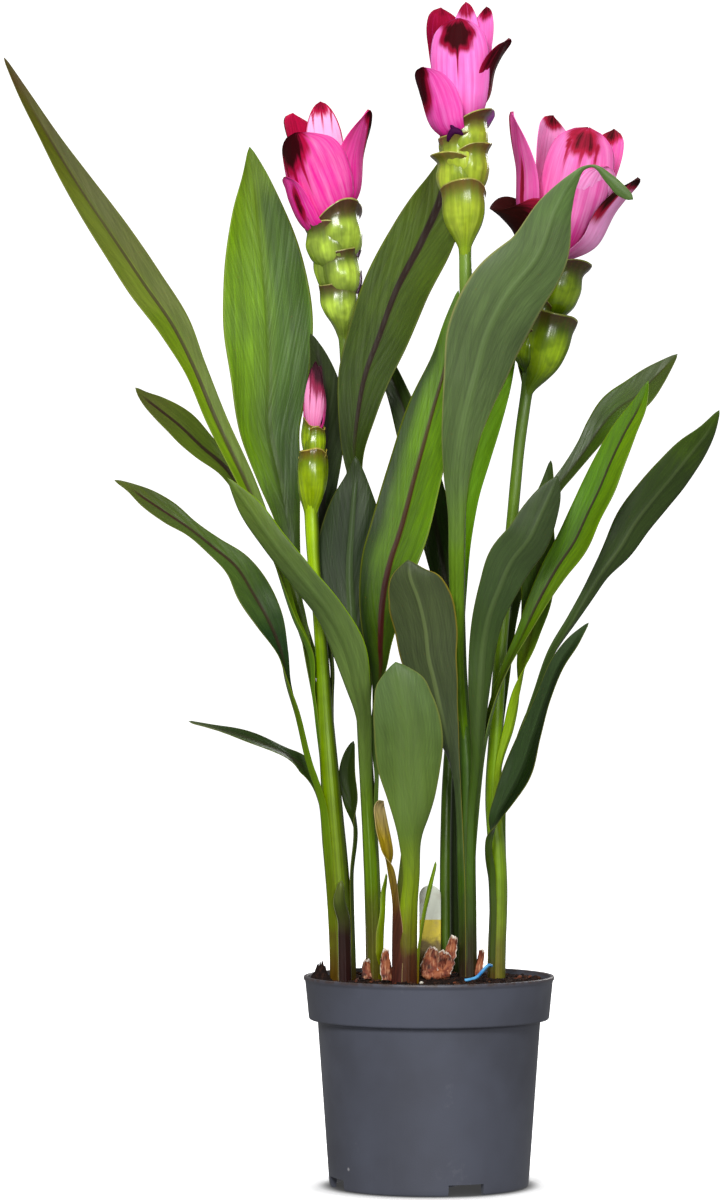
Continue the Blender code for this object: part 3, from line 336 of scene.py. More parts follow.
leaves = {
    "leaf_long_left": dict(
        shoot="bud", turn=185, low=198, high=238, wrap=28, face=(0.20, -0.92, 0.33), fold=22, wave=0.7,
        slot="leaf_olive", route=[
            (-57, -1, 256, 3.0), (-65, -5, 275, 3.6), (-74, -9, 303, 4.4), (-87.5, -12, 337.5, 5.0),
            (-103, -15, 371, 5.3), (-113.5, -18, 396, 6.2), (-122.5, -22, 414, 8.8), (-137, -28, 435, 9.8),
            (-151, -36, 456, 9.2), (-167, -43, 480, 7.4), (-180.5, -50, 502, 4.9), (-191, -55, 520, 3.2),
            (-201.5, -60, 539.5, 0.6)],
        upper=[(0, (110, 140, 60)), (0.35, (112, 140, 62)), (0.55, (118, 142, 66)), (0.7, (114, 126, 68)),
               (0.9, (84, 88, 38)), (1, (74, 62, 40))],
        under=[(0, (98, 128, 58)), (0.4, (98, 128, 62)), (1, (90, 108, 66))],
        plus=((92, 88, 74), 0.45), rib=((56, 32, 36), 1.3, 0.6, 0.85, 0.55), gloss=0.5, value=0.9),
    "leaf_broad_left": dict(
        shoot="bud", turn=78, low=205, high=234, wrap=24, face=(0.10, -0.98, 0.16), fold=16, wave=1.4,
        slot="leaf_olive", route=[
            (-56.5, 17, 256, 2.8), (-64, 22, 281, 3.2), (-66, 26, 303, 3.8), (-69, 30, 323, 6.5),
            (-73, 35, 343, 10.8), (-78, 39, 367, 15.4), (-78, 43, 394, 20.0), (-79, 47, 421, 22.3),
            (-81, 50, 448, 20.0), (-83.5, 51, 473, 14.0), (-85.5, 52, 493, 6.5), (-88, 52, 507.5, 0.6)],
        # The dark stop at 0.32 and the dark right half (plus) are painted shade where the leaf lies beside
        # the bud
        upper=[(0, (88, 114, 46)), (0.32, (46, 66, 14)), (0.55, (92, 124, 44)), (0.75, (116, 152, 56)),
               (1, (112, 140, 50))],
        plus=((62, 88, 40), 0.78), minus=((132, 166, 78), 0.5), rib=((66, 74, 50), 2.6, 1.4, 0.5, 0.25),
        stripes=0.24, gloss=0.5),
    "leaf_olive_left": dict(
        shoot="bud", turn=130, low=188, high=222, wrap=21, face=(0.22, -0.88, 0.42), fold=24, wave=0.8,
        slot="leaf_olive", route=[
            (-58, 10, 250, 2.6), (-65, 13, 285, 2.9), (-75, 16, 309, 3.4), (-88, 16, 332, 4.2),
            (-99, 14, 348, 5.2), (-110, 11, 357.5, 7.4), (-121, 7, 368, 9.0), (-131, 2, 376, 6.6),
            (-139, -2, 382.5, 2.6), (-142, -4, 386, 0.6)],
        upper=[(0, (92, 116, 54)), (0.5, (92, 112, 56)), (0.8, (100, 118, 60)), (1, (92, 98, 56))],
        rib=((48, 24, 28), 2.0, 0.9, 0.95, 0.85)),
    "leaf_twisted_left": dict(
        shoot="bud", turn=212, low=93, high=184, wrap=37, face=(0.25, -0.85, 0.45), fold=26, wave=1.2,
        slot="leaf_dark", route=[
            (-58.5, -4, 205, 2.9), (-64, -9, 229, 2.9), (-68, -13, 243, 3.3), (-71, -17, 258, 4.4),
            (-77, -20, 273, 7.8), (-85, -22, 287, 9.2), (-92.5, -25, 299, 7.4), (-103.5, -28, 308.5, 5.4),
            (-114, -31, 317, 4.7), (-125, -33, 324.5, 6.8), (-135.5, -35, 331.5, 5.8),
            (-143.5, -37, 337, 2.6), (-150.5, -38, 340.5, 0.6)],
        upper=[(0, (98, 76, 46)), (0.08, (100, 110, 56)), (0.3, (90, 112, 62)), (0.46, (46, 64, 34)),
               (0.62, (46, 66, 40)), (0.78, (84, 104, 58)), (1, (86, 94, 52))],
        under=[(0, (88, 62, 40)), (0.06, (96, 78, 44)), (0.13, (104, 116, 50)), (0.3, (104, 132, 52)),
               (1, (98, 116, 70))],
        rib=((56, 32, 32), 1.3, 0.7, 0.5, 0.9), gloss=0.34),
    "leaf_low_left": dict(
        shoot="bud", turn=146, low=152, high=182, wrap=21, face=(0.12, -0.55, 0.82), fold=20, wave=0.5,
        slot="leaf_dark", route=[
            (-57, 7, 196, 3.6), (-62, 5, 203, 5.3), (-68, 1, 208, 5.4), (-80, -4, 214, 4.9),
            (-93.5, -9, 219, 3.7), (-106, -12, 222.5, 1.9), (-116, -14, 225, 0.6)],
        upper=[(0, (76, 98, 40)), (0.4, (58, 78, 36)), (1, (60, 72, 40))],
        plus=((40, 52, 34), 0.6), rib=((46, 34, 34), 1.6, 0.8, 0.6, 0.4), value=0.76),
    "leaf_behind_bud": dict(
        shoot="bud", turn=20, low=212, high=246, wrap=26, face=(0.15, -0.98, 0.12), fold=18, wave=0.5,
        slot="leaf_dark", route=[
            (-49.5, 10, 274, 2.7), (-50.5, 15, 298, 3.0), (-52, 18, 322, 4.2), (-51.5, 20, 336.5, 6.6),
            (-51, 21, 354, 9.0), (-50, 22, 371, 9.4), (-51, 22, 388, 8.0), (-54, 22, 403, 4.2),
            (-57.5, 22, 413.5, 0.6)],
        upper=[(0, (78, 100, 40)), (0.5, (60, 78, 40)), (1, (66, 80, 40))],
        # A low value: the whole leaf is darkened as painted shade, as it lies in the shadow behind the bud
        rib=((46, 30, 34), 2.6, 1.2, 0.7, 0.5), gloss=0.7, value=0.38),
    "leaf_small_dark": dict(
        shoot="bud", turn=-4, low=93, high=150, wrap=27, face=(-0.30, -0.95, 0.0), fold=24, wave=0.2,
        slot="leaf_dark", route=[
            (-35.5, 7, 172, 2.3), (-38, 9, 187, 4.0), (-39.5, 9, 199, 4.2), (-38, 8, 210, 2.4),
            (-36.5, 8, 215, 0.6)],
        upper=[(0, (92, 66, 44)), (0.2, (58, 74, 30)), (1, (48, 62, 30))],
        under=[(0, (90, 62, 42)), (0.2, (64, 78, 32)), (1, (58, 72, 40))]),
    "sheath_bud": dict(
        shoot="bud", turn=286, low=93, high=128, wrap=29, face=(0.0, 0.98, 0.1), fold=40, wave=0.0,
        slot="leaf_olive", route=[(-43, -4.8, 138, 3.2), (-42.5, -5.4, 148, 0.7)],
        upper=[(0, (100, 66, 48)), (0.5, (104, 108, 56)), (1, (120, 120, 80))],
        under=[(0, (44, 24, 24)), (0.5, (46, 30, 26)), (0.78, (74, 84, 44)), (1, (112, 122, 72))],
        edge=((214, 212, 186), 1.3)),
    "leaf_crossing_left": dict(
        shoot="left", turn=262, low=93, high=184, wrap=45, face=(0.30, 0.88, 0.36), fold=24, wave=0.8,
        slot="leaf_grey", route=[
            (-31, -14.5, 205, 3.5), (-32, -19, 228, 4.2), (-35, -23, 243, 6.5), (-39.5, -27, 260, 8.9),
            (-48.5, -31, 277.5, 8.2), (-62.5, -34, 295.5, 7.5), (-75, -36, 311, 6.9), (-87, -37, 328, 5.7),
            (-96.5, -38, 341.5, 0.6)],
        upper=[(0, (96, 124, 52)), (1, (78, 96, 42))],
        under=[(0, (92, 66, 50)), (0.08, (98, 98, 50)), (0.25, (104, 132, 58)), (0.5, (112, 132, 80)),
               (0.75, (98, 116, 74)), (1, (116, 136, 76))],
        rib=((72, 88, 50), 3.0, 1.0, 0.35, 0.3), edge=((150, 184, 70), 1.0)),
    "leaf_dark_middle": dict(
        shoot="left", turn=278, low=206, high=236, wrap=34, face=(0.0, 0.99, 0.1), fold=14, wave=0.6,
        slot="leaf_dark", route=[
            (-33.5, 0, 255, 4.6), (-36, 1, 264, 9.0), (-38, 3, 283, 15.5), (-38.5, 4, 302.5, 17.0),
            (-37.5, 4, 317, 15.0), (-36.5, 4, 331, 11.0), (-35.5, 4, 343.5, 5.0), (-35.5, 3, 353, 0.6)],
        upper=[(0, (80, 104, 44)), (1, (64, 84, 40))],
        under=[(0, (96, 120, 56)), (0.35, (66, 82, 46)), (0.7, (56, 72, 44)), (1, (70, 84, 54))],
        rib=((104, 124, 84), 2.6, 1.0, 0.75, 0.5), stripes=0.2, value=0.52),
    "leaf_tall_middle": dict(
        shoot="left", turn=8, low=212, high=246, wrap=30, face=(-0.22, -0.97, 0.05), fold=18, wave=1.2,
        slot="leaf_olive", route=[
            (-29, 8, 283, 2.8), (-31.5, 10, 312, 3.2), (-34, 12, 336, 4.2), (-36, 14, 355.5, 6.5),
            (-34.5, 15, 373, 9.5), (-31, 18, 392.5, 13.0), (-24, 22, 412, 15.6), (-15.5, 27, 435, 17.0),
            (-3, 33, 459.5, 16.5), (7.5, 38, 484, 11.5), (11, 40, 499, 5.0), (14, 41, 509.5, 0.6)],
        upper=[(0, (84, 106, 40)), (0.4, (58, 74, 30)), (0.6, (72, 92, 38)), (0.85, (98, 120, 54)),
               (1, (94, 106, 50))],
        rib=((46, 24, 20), 1.0, 2.5, 0.9, 0.98), stripes=0.2, gloss=0.62, value=0.53),
    "leaf_bright_middle": dict(
        shoot="left", turn=344, low=160, high=196, wrap=27, face=(-0.30, -0.95, 0.1), fold=16, wave=1.0,
        slot="leaf_bright", route=[
            (-26.5, -9, 218, 2.9), (-25.5, -11, 236, 4.0), (-23.5, -12, 247, 6.4), (-23.5, -13, 263.5, 9.2),
            (-22.5, -13, 283, 11.8), (-18.5, -13, 303, 14.2), (-14.5, -13, 315, 14.6), (-7, -13, 343, 14.2),
            (1.5, -13, 374, 12.8), (8.5, -13, 400, 7.4), (11, -13, 418, 3.6), (14, -13, 432.5, 0.6)],
        upper=[(0, (96, 124, 48)), (0.34, (52, 74, 12)), (0.5, (88, 120, 38)), (0.75, (106, 146, 44)),
               (1, (104, 140, 48))],
        # minus: the dark outer left half is painted shadow cast by the tall leaf
        minus=((26, 44, 10), 0.85), half=(0.25, 0.85), rib=((66, 28, 32), 1.9, 0.9, 0.95, 0.8), stripes=0.2),
    "sheath_left": dict(
        shoot="left", turn=338, low=93, high=132, wrap=52, face=(-0.98, 0.0, 0.1), fold=40, wave=0.0,
        slot="leaf_olive", route=[(-21.8, -11.5, 142, 2.2), (-20.8, -12, 152, 0.7)],
        upper=[(0, (84, 56, 40)), (1, (90, 104, 44))],
        under=[(0, (108, 76, 36)), (0.2, (112, 114, 40)), (0.7, (114, 140, 44)), (1, (100, 124, 44))],
        edge=((180, 176, 120), 0.7), value=1.0),
    "leaf_round_front": dict(
        shoot="young", turn=288, low=93, high=150, wrap=50, face=(0.0, 0.95, 0.3), fold=22, wave=0.9,
        slot="leaf_grey", route=[
            (-8.5, -31, 168, 6.6), (-8.5, -34, 178, 9.0), (-9, -37, 190, 12.0), (-10, -40, 203.5, 15.4),
            (-10.5, -43, 220, 16.5), (-13, -46, 235.5, 14.4), (-15, -47, 246, 10.4),
            (-16.5, -47, 254, 0.9)],
        upper=[(0, (96, 124, 52)), (1, (78, 98, 50))],
        under=[(0, (76, 44, 36)), (0.12, (88, 60, 44)), (0.2, (130, 140, 62)), (0.28, (140, 160, 74)),
               (0.5, (112, 134, 76)), (0.7, (100, 120, 72)), (1, (104, 124, 84))],
        plus=((74, 94, 72), 0.5), rib=((126, 148, 96), 9.0, 5.0, 0.4, 0.25), edge=((176, 178, 110), 0.55)),
    "leaf_dry_brown": dict(
        shoot="young", turn=206, low=93, high=138, wrap=50, face=(0.3, -0.93, 0.2), fold=40, wave=0.3,
        slot="leaf_dry", route=[
            (-19, -20, 152, 3.0), (-21, -19, 165, 3.2), (-23.5, -18.5, 177, 3.4), (-24, -19, 185, 2.6),
            (-22, -22, 187, 1.4)],
        upper=[(0, (80, 46, 42)), (0.45, (96, 62, 46)), (0.62, (128, 108, 52)), (0.8, (162, 142, 76)),
               (1, (206, 190, 150))],
        under=[(0, (74, 42, 40)), (0.42, (88, 56, 42)), (0.6, (116, 98, 46)), (0.78, (150, 132, 66)),
               (1, (210, 196, 160))],
        edge=((214, 196, 150), 0.8), stripes=0.4, gloss=0.7),
    "leaf_thin_spike": dict(
        shoot="young", turn=358, low=93, high=122, wrap=15, face=(-0.95, -0.3, 0.1), fold=40, wave=0.0,
        slot="leaf_bright", route=[(-2.5, -21, 134, 1.8), (0.5, -20.5, 148, 1.3), (3, -20, 158, 0.6)],
        upper=[(0, (150, 92, 50)), (0.3, (120, 136, 56)), (1, (126, 160, 70))],
        under=[(0, (150, 88, 48)), (0.3, (120, 136, 56)), (1, (126, 160, 70))]),
    "leaf_rear_bright": dict(
        shoot="slim", turn=40, low=172, high=222, wrap=34, face=(0.20, -0.97, 0.1), fold=20, wave=0.6,
        slot="leaf_bright", route=[
            (16, 19, 258, 2.8), (16.5, 21, 285, 3.2), (16.5, 22, 314, 5.0), (18.5, 22, 334, 6.4),
            (22.5, 23, 353.5, 8.0), (28, 24, 373, 8.5), (33.5, 26, 390, 7.5), (39, 28, 406.5, 4.6),
            (44, 30, 419, 0.6)],
        upper=[(0, (96, 130, 40)), (0.4, (118, 166, 50)), (0.7, (132, 184, 60)), (1, (120, 164, 52))],
        minus=((60, 90, 24), 0.6), rib=((60, 50, 36), 1.4, 0.7, 0.5, 0.4), gloss=0.6, value=1.08),
    "leaf_rear_dark": dict(
        shoot="rear", turn=110, low=172, high=216, wrap=34, face=(-0.20, -0.97, 0.1), fold=18, wave=0.8,
        slot="leaf_dark", route=[
            (12, 30, 246, 2.7), (11.5, 33, 266, 3.6), (9, 35, 289, 6.0), (5, 37, 313.5, 8.0),
            (-1, 38, 340, 8.6), (-7.5, 40, 362.5, 7.4), (-14.5, 41, 384.5, 5.6), (-21.5, 42, 401, 4.0),
            (-28, 43, 414, 0.6)],
        upper=[(0, (78, 98, 40)), (0.5, (54, 70, 34)), (1, (60, 76, 36))],
        rib=((50, 34, 36), 1.8, 0.8, 0.6, 0.4)),
    "leaf_grey_front": dict(
        shoot="middle", turn=264, low=206, high=248, wrap=36, face=(-0.10, 0.94, 0.32), fold=18, wave=1.4,
        slot="leaf_grey", route=[
            (13.5, -9, 272, 3.6), (13, -15, 302.5, 4.1), (13, -19, 324, 4.4), (13, -23, 343, 6.5),
            (15, -27, 361.5, 9.5), (19, -31, 380, 13.2), (22.5, -33, 393.5, 16.2), (26.5, -36, 408.5, 19.0),
            (36, -40, 427.5, 19.5), (51, -44, 447, 15.2), (60, -47, 470, 8.4), (67.5, -49, 482.5, 3.2),
            (72.5, -50, 488, 1.0), (76.5, -51, 489, 0.7), (85, -52, 482.5, 2.4), (90.5, -52, 477, 2.8),
            (96, -52, 473, 1.6)],
        upper=[(0, (96, 124, 52)), (1, (78, 92, 44))],
        under=[(0, (104, 134, 60)), (0.3, (112, 140, 72)), (0.42, (97, 115, 76)), (0.6, (92, 107, 74)),
               (0.8, (95, 112, 76)), (0.9, (96, 118, 76)), (1, (90, 110, 70))],
        rib=((120, 140, 96), 2.6, 1.0, 0.4, 0.3), edge=((186, 182, 128), 0.6), stripes=0.2, value=0.88),
    "leaf_round_middle": dict(
        shoot="middle", turn=212, low=93, high=176, wrap=38, face=(0.05, 0.95, 0.3), fold=20, wave=1.0,
        slot="leaf_grey", route=[
            (12.5, -6.5, 197, 3.2), (10.5, -10, 208, 4.2), (8, -13, 219, 6.2), (5, -17, 232, 8.8),
            (2.5, -20, 243.5, 11.4), (-0.5, -23, 256, 13.8), (-2, -26, 269.5, 15.4), (-5.5, -30, 284, 15.2),
            (-9.5, -33, 295, 9.8), (-10.5, -34, 302.5, 0.9)],
        upper=[(0, (96, 124, 52)), (1, (72, 92, 44))],
        under=[(0, (54, 34, 32)), (0.08, (58, 62, 34)), (0.25, (70, 94, 44)), (0.5, (88, 100, 74)),
               (0.7, (80, 90, 64)), (1, (78, 88, 60))],
        minus=((96, 108, 62), 0.3), rib=((124, 138, 96), 1.6, 0.9, 0.7, 0.5), edge=((196, 176, 96), 0.7),
        stripes=0.2),
    "leaf_grey_right": dict(
        shoot="middle", turn=298, low=93, high=180, wrap=35, face=(-0.12, 0.95, 0.26), fold=20, wave=1.0,
        slot="leaf_grey", route=[
            (23.5, -8, 203, 3.2), (24, -12, 224, 4.4), (24.5, -16, 243, 6.0), (26, -19, 263, 6.9),
            (28.5, -23, 276, 7.8), (33, -26, 288.5, 9.6), (39, -29, 302, 11.4), (47, -32, 312.5, 11.2),
            (53, -33, 325, 9.2), (58, -34, 336, 5.0), (61, -35, 342.5, 0.6)],
        upper=[(0, (96, 124, 52)), (1, (68, 88, 42))],
        under=[(0, (64, 40, 36)), (0.08, (68, 76, 40)), (0.25, (84, 112, 50)), (0.5, (84, 104, 60)),
               (0.75, (76, 94, 60)), (1, (78, 92, 62))],
        rib=((112, 130, 88), 2.2, 1.0, 0.55, 0.4), edge=((158, 166, 104), 0.5), value=0.62),
    "leaf_bright_right": dict(
        shoot="middle", turn=8, low=150, high=188, wrap=25, face=(-0.35, -0.90, 0.25), fold=22, wave=0.8,
        slot="leaf_bright", route=[
            (27, -3, 215, 2.7), (31.5, -5, 234.5, 3.0), (38, -7, 252, 3.2), (45, -8, 266.5, 3.9),
            (52.5, -9, 282.5, 5.3), (61, -10, 298, 7.1), (70, -12, 312, 8.9), (75.5, -13, 324, 9.1),
            (81.5, -14, 336.5, 9.3), (87, -15, 349.5, 8.1), (94, -17, 364, 6.6), (100.5, -19, 376, 4.3),
            (105, -20, 388.5, 0.6)],
        upper=[(0, (92, 122, 44)), (0.3, (62, 78, 26)), (0.5, (76, 102, 40)), (0.75, (96, 136, 54)),
               (1, (96, 128, 56))],
        plus=((116, 146, 50), 0.5), rib=((48, 34, 28), 1.0, 0.7, 0.9, 0.85), stripes=0.2),
    "leaf_far_right": dict(
        shoot="right", turn=2, low=150, high=188, wrap=27, face=(-0.25, 0.90, 0.32), fold=22, wave=1.0,
        slot="leaf_grey", route=[
            (44, 14, 215, 2.7), (53, 14, 239.5, 2.8), (60.5, 13, 258, 3.1), (70, 12, 273.5, 3.4),
            (77.5, 11, 286, 3.9), (83.5, 10, 296, 5.0), (92.5, 9, 308.5, 8.1), (100, 8, 321, 9.7),
            (109.5, 6, 333.5, 10.1), (118.5, 3, 344.5, 10.0), (128, 0, 356.5, 8.3), (134.5, -4, 365, 4.7),
            (140, -8, 375, 0.6)],
        upper=[(0, (90, 116, 46)), (1, (66, 84, 40))],
        under=[(0, (96, 124, 52)), (0.35, (84, 106, 58)), (0.6, (72, 88, 54)), (0.85, (68, 84, 48)),
               (1, (86, 108, 52))],
        rib=((112, 126, 88), 1.4, 0.8, 0.45, 0.35), value=0.62),
    "leaf_low_right": dict(
        shoot="right", turn=232, low=93, high=146, wrap=26, face=(-0.62, -0.68, 0.38), fold=26, wave=0.8,
        slot="leaf_dark", route=[
            (29.5, 1, 165, 2.5), (32.5, -3, 177.5, 4.7), (37.5, -6, 187.5, 7.2), (44, -8, 201, 9.0),
            (50, -11, 219, 7.9), (56, -13, 237, 5.6), (63, -16, 254, 4.6), (70, -18, 264, 3.6),
            (76.5, -19, 272.5, 0.6)],
        upper=[(0, (92, 62, 44)), (0.1, (72, 82, 40)), (0.28, (60, 76, 46)), (0.5, (62, 78, 52)),
               (0.75, (58, 74, 48)), (1, (60, 76, 50))],
        under=[(0, (92, 60, 44)), (0.1, (72, 84, 40)), (0.3, (70, 88, 44)), (1, (80, 92, 66))],
        plus=((22, 36, 12), 0.85), rib=((34, 44, 26), 1.0, 0.6, 0.6, 0.4), gloss=0.34, value=0.82,
        rolled=176),
    "leaf_upper_right": dict(
        shoot="right", turn=62, low=186, high=222, wrap=30, face=(-0.30, -0.90, 0.30), fold=24, wave=0.8,
        slot="leaf_olive", route=[
            (38, 20, 247, 2.8), (41, 24, 272, 2.9), (46.5, 27, 296, 3.0), (54.5, 29, 320, 3.3),
            (62, 31, 337.5, 3.6), (69.5, 32, 347, 4.2), (78, 33, 358.5, 5.6), (84.5, 34, 368, 7.5),
            (92, 36, 376.5, 9.1), (102, 38, 383.5, 9.1), (111, 40, 392.5, 6.6), (117.5, 41, 399, 3.6),
            (123, 42, 404.5, 0.6)],
        upper=[(0, (86, 112, 42)), (0.4, (60, 76, 30)), (0.65, (56, 68, 32)), (0.85, (74, 98, 42)),
               (1, (78, 90, 48))],
        minus=((70, 84, 46), 0.3), rib=((52, 40, 30), 1.2, 0.7, 0.5, 0.4), value=0.66),
    "leaf_behind_right": dict(
        shoot="right", turn=296, low=160, high=202, wrap=27, face=(-0.30, -0.95, 0.0), fold=20, wave=0.5,
        slot="leaf_bright", route=[
            (39.5, 6, 222, 3.2), (42.5, 4, 236, 3.5), (46, 3, 254, 4.0), (49, 3, 267, 5.0),
            (52.5, 2, 284, 7.8), (53, 2, 306, 9.0), (54.5, 1, 325, 6.5), (57.5, 0, 340, 3.2),
            (59, 0, 351, 0.6)],
        upper=[(0, (110, 138, 44)), (0.35, (130, 160, 44)), (0.6, (74, 100, 34)), (1, (50, 66, 28))],
        under=[(0, (132, 160, 46)), (0.3, (148, 182, 52)), (0.6, (128, 160, 46)), (1, (70, 90, 40))],
        rib=((64, 46, 38), 1.6, 0.8, 0.5, 0.4), gloss=0.62),
}
leafShape = dict(
    claspRows=6, sunk=-0.45, standOff=1.15,   # rows on the stem; the foot is sunk in it, the top stands off
    neckFold=58.0, ripplesAlong=3.0,          # folded this far where it leaves the stem; ripples of the edge
    rowStep=1.5, columnStep=1.0, crowd=1.12,  # size of its faces, and how they crowd to the rib
    tip=0.012, blade=(0.22, 0.6),             # the part that rounds off; width where stalk turns to blade
    middle=0.62, margin=0.30,                 # thickness beside the rib and at the edge
    groove=0.34, ribWidth=1.1, ribDepth=0.75, # the rib: a groove above, a ridge below
    pleat=0.06, pleatStep=2.7, slant=4.2)     # the side veins: height, spacing, and how far they run along


def leafLine(leaf):
    # Rows (x, y, z, half width, fold, upper side's direction) through the clasp's rows and the route.
    # Along the clasp a row stands on the stem's surface and its half width is the stem's radius times wrap.
    # Over the first third of the route the fold and the upper side turn to the leaf's own.
    turn, wrap, fold = math.radians(leaf["turn"]), math.radians(leaf["wrap"]), math.radians(leaf["fold"])
    outward = np.array([math.cos(turn), math.sin(turn), 0.0])
    stem = throughRows(shoots[leaf["shoot"]], np.linspace(0, 1, 200))
    rooted = leaf["low"] < soilLevel
    step = np.linspace(0.0, 1.0, leafShape["claspRows"])
    heights = leaf["low"] + (leaf["high"] - leaf["low"]) * step
    radius = np.interp(heights, stem[:, 2], stem[:, 3])
    away = radius + leafShape["sunk"] + (leafShape["standOff"] - leafShape["sunk"]) * step ** 3
    halves = radius * wrap * (1.0 + 0.05 * rooted)
    halves[-1] = min(halves[-1], leaf["route"][0][3] * 1.1)
    if not rooted:
        halves[0] = 1.2
    centre = np.stack([np.interp(heights, stem[:, 2], stem[:, i]) for i in (0, 1)], axis=1)
    clasp = np.column_stack([centre + outward[:2] * away[:, None], heights, halves,
                             np.full(len(step), wrap), np.tile(-outward, (len(step), 1))])
    route = np.array(leaf["route"], float)
    part = np.minimum(np.arange(len(route)) / max(len(route) // 3, 1), 1.0)
    folds = math.radians(leafShape["neckFold"]) * (1 - part) + fold * part
    faces = -outward * (1 - part)[:, None] + np.array(leaf["face"]) * part[:, None]
    if leaf["rolled"]:      # its upper side ends up away from the stem: it turns round the stalk instead
        sooner = np.minimum(np.arange(len(route)) * 0.5 + 0.5, 1.0)
        bearing = turn + math.pi + math.radians(leaf["rolled"]) * sooner
        faces = np.column_stack([np.cos(bearing), np.sin(bearing), leaf["face"][2] * sooner])
    rows = np.vstack([clasp, np.column_stack([route, folds, faces])])
    steps = np.linalg.norm(np.diff(rows[:, :3], axis=0), axis=1)
    length = steps.sum()
    spots = np.linspace(0.0, 1.0, int(length / leafShape["rowStep"]))
    return throughRows(rows, spots), spots, length, steps[:leafShape["claspRows"]].sum() / length


def leafSkin(leaf, seed):
    # The blade is a strip: across it (v from -1 to 1) an arc of the row's half width and fold, along it the
    # row's spine. Its height over that arc is the edge's ripple, the rib's groove, the pleats of the side
    # veins and slow waves; its under side lies a thickness below, deepest under the rib.
    line, along, length, neck = leafLine(leaf)
    shape, folds = leafShape, line[:, 4:5]
    tipRound = np.sqrt(np.clip(1.0 - ((along - 1 + shape["tip"]) / shape["tip"]).clip(0, 1) ** 2, 0.0, 1.0))
    halves = np.maximum(line[:, 3], 0.45) * np.maximum(tipRound, 0.06)
    widest = halves.max()
    columns = 2 * int(np.clip(widest / shape["columnStep"], 7, 18))
    even = np.linspace(-1.0, 1.0, columns + 1)
    v = np.sign(even) * np.abs(even) ** shape["crowd"]
    radius = halves[:, None] / np.maximum(folds, 0.02)
    arc, normal, upright = arcStrip(line[:, :3], unitRows(line[:, 5:8]), radius, folds * v)
    mmAlong = (along * length)[:, None]
    offset = halves[:, None] * v
    blade = (smoothStep(*shape["blade"], halves / widest) * smoothStep(neck, neck + 0.12, along))[:, None]
    ripple = leaf["wave"] * np.sin(along * shape["ripplesAlong"] * 2 * np.pi)[:, None] * v * np.abs(v)
    ripple = ripple * np.minimum(halves / widest, 1.0)[:, None]
    edge = np.where(v > 0, *(ripples(mmAlong / 9.0, drawn, 4, 0.4, 1.6) for drawn in (seed, seed + 50)))
    slow = ripples(mmAlong / 22.0 + 0.8 * v, seed + 90, 3, 0.6, 1.5) * (1 - v**2)
    wavy = leaf["wave"] * (0.55 * edge * np.abs(v) ** 2.5 + 0.3 * slow)
    vein = (mmAlong - shape["slant"] * halves[:, None] * np.abs(v)) / math.hypot(1.0, shape["slant"])
    pleats = shape["pleat"] * np.cos(vein * 2 * np.pi / shape["pleatStep"])
    pleats = pleats * smoothStep(0.05, 0.22, np.abs(v)) * (1 - smoothStep(0.8, 1.0, np.abs(v)))
    ribAt = np.exp(-(offset / (shape["ribWidth"] * (0.6 + 0.4 * blade))) ** 2)
    height = blade * (wavy + pleats - shape["groove"] * ribAt)
    thick = shape["margin"] + (shape["middle"] - shape["margin"]) * (1 - np.abs(v) ** 3)
    thick = thick + shape["ribDepth"] * ribAt * (1.0 - 0.75 * along[:, None])
    thick = thick * smoothStep(-0.02, 0.03, 1.0 - along)[:, None] * np.minimum(1, halves / 0.9)[:, None]
    if leaf["low"] > soilLevel:     # a leaf that starts above the soil grows out of the stem without a step
        thick = thick * (0.2 + 0.8 * smoothStep(0.0, 0.5 * neck, along)[:, None])
    top = arc + upright * ripple[..., None] + normal * height[..., None]
    fields = dict(along=along[:, None], across=v, offset=offset, vein=vein, length=mmAlong, blade=blade,
                  under=(0.0, 1.0))
    return twoSided(top, top - normal * thick[..., None], fields)


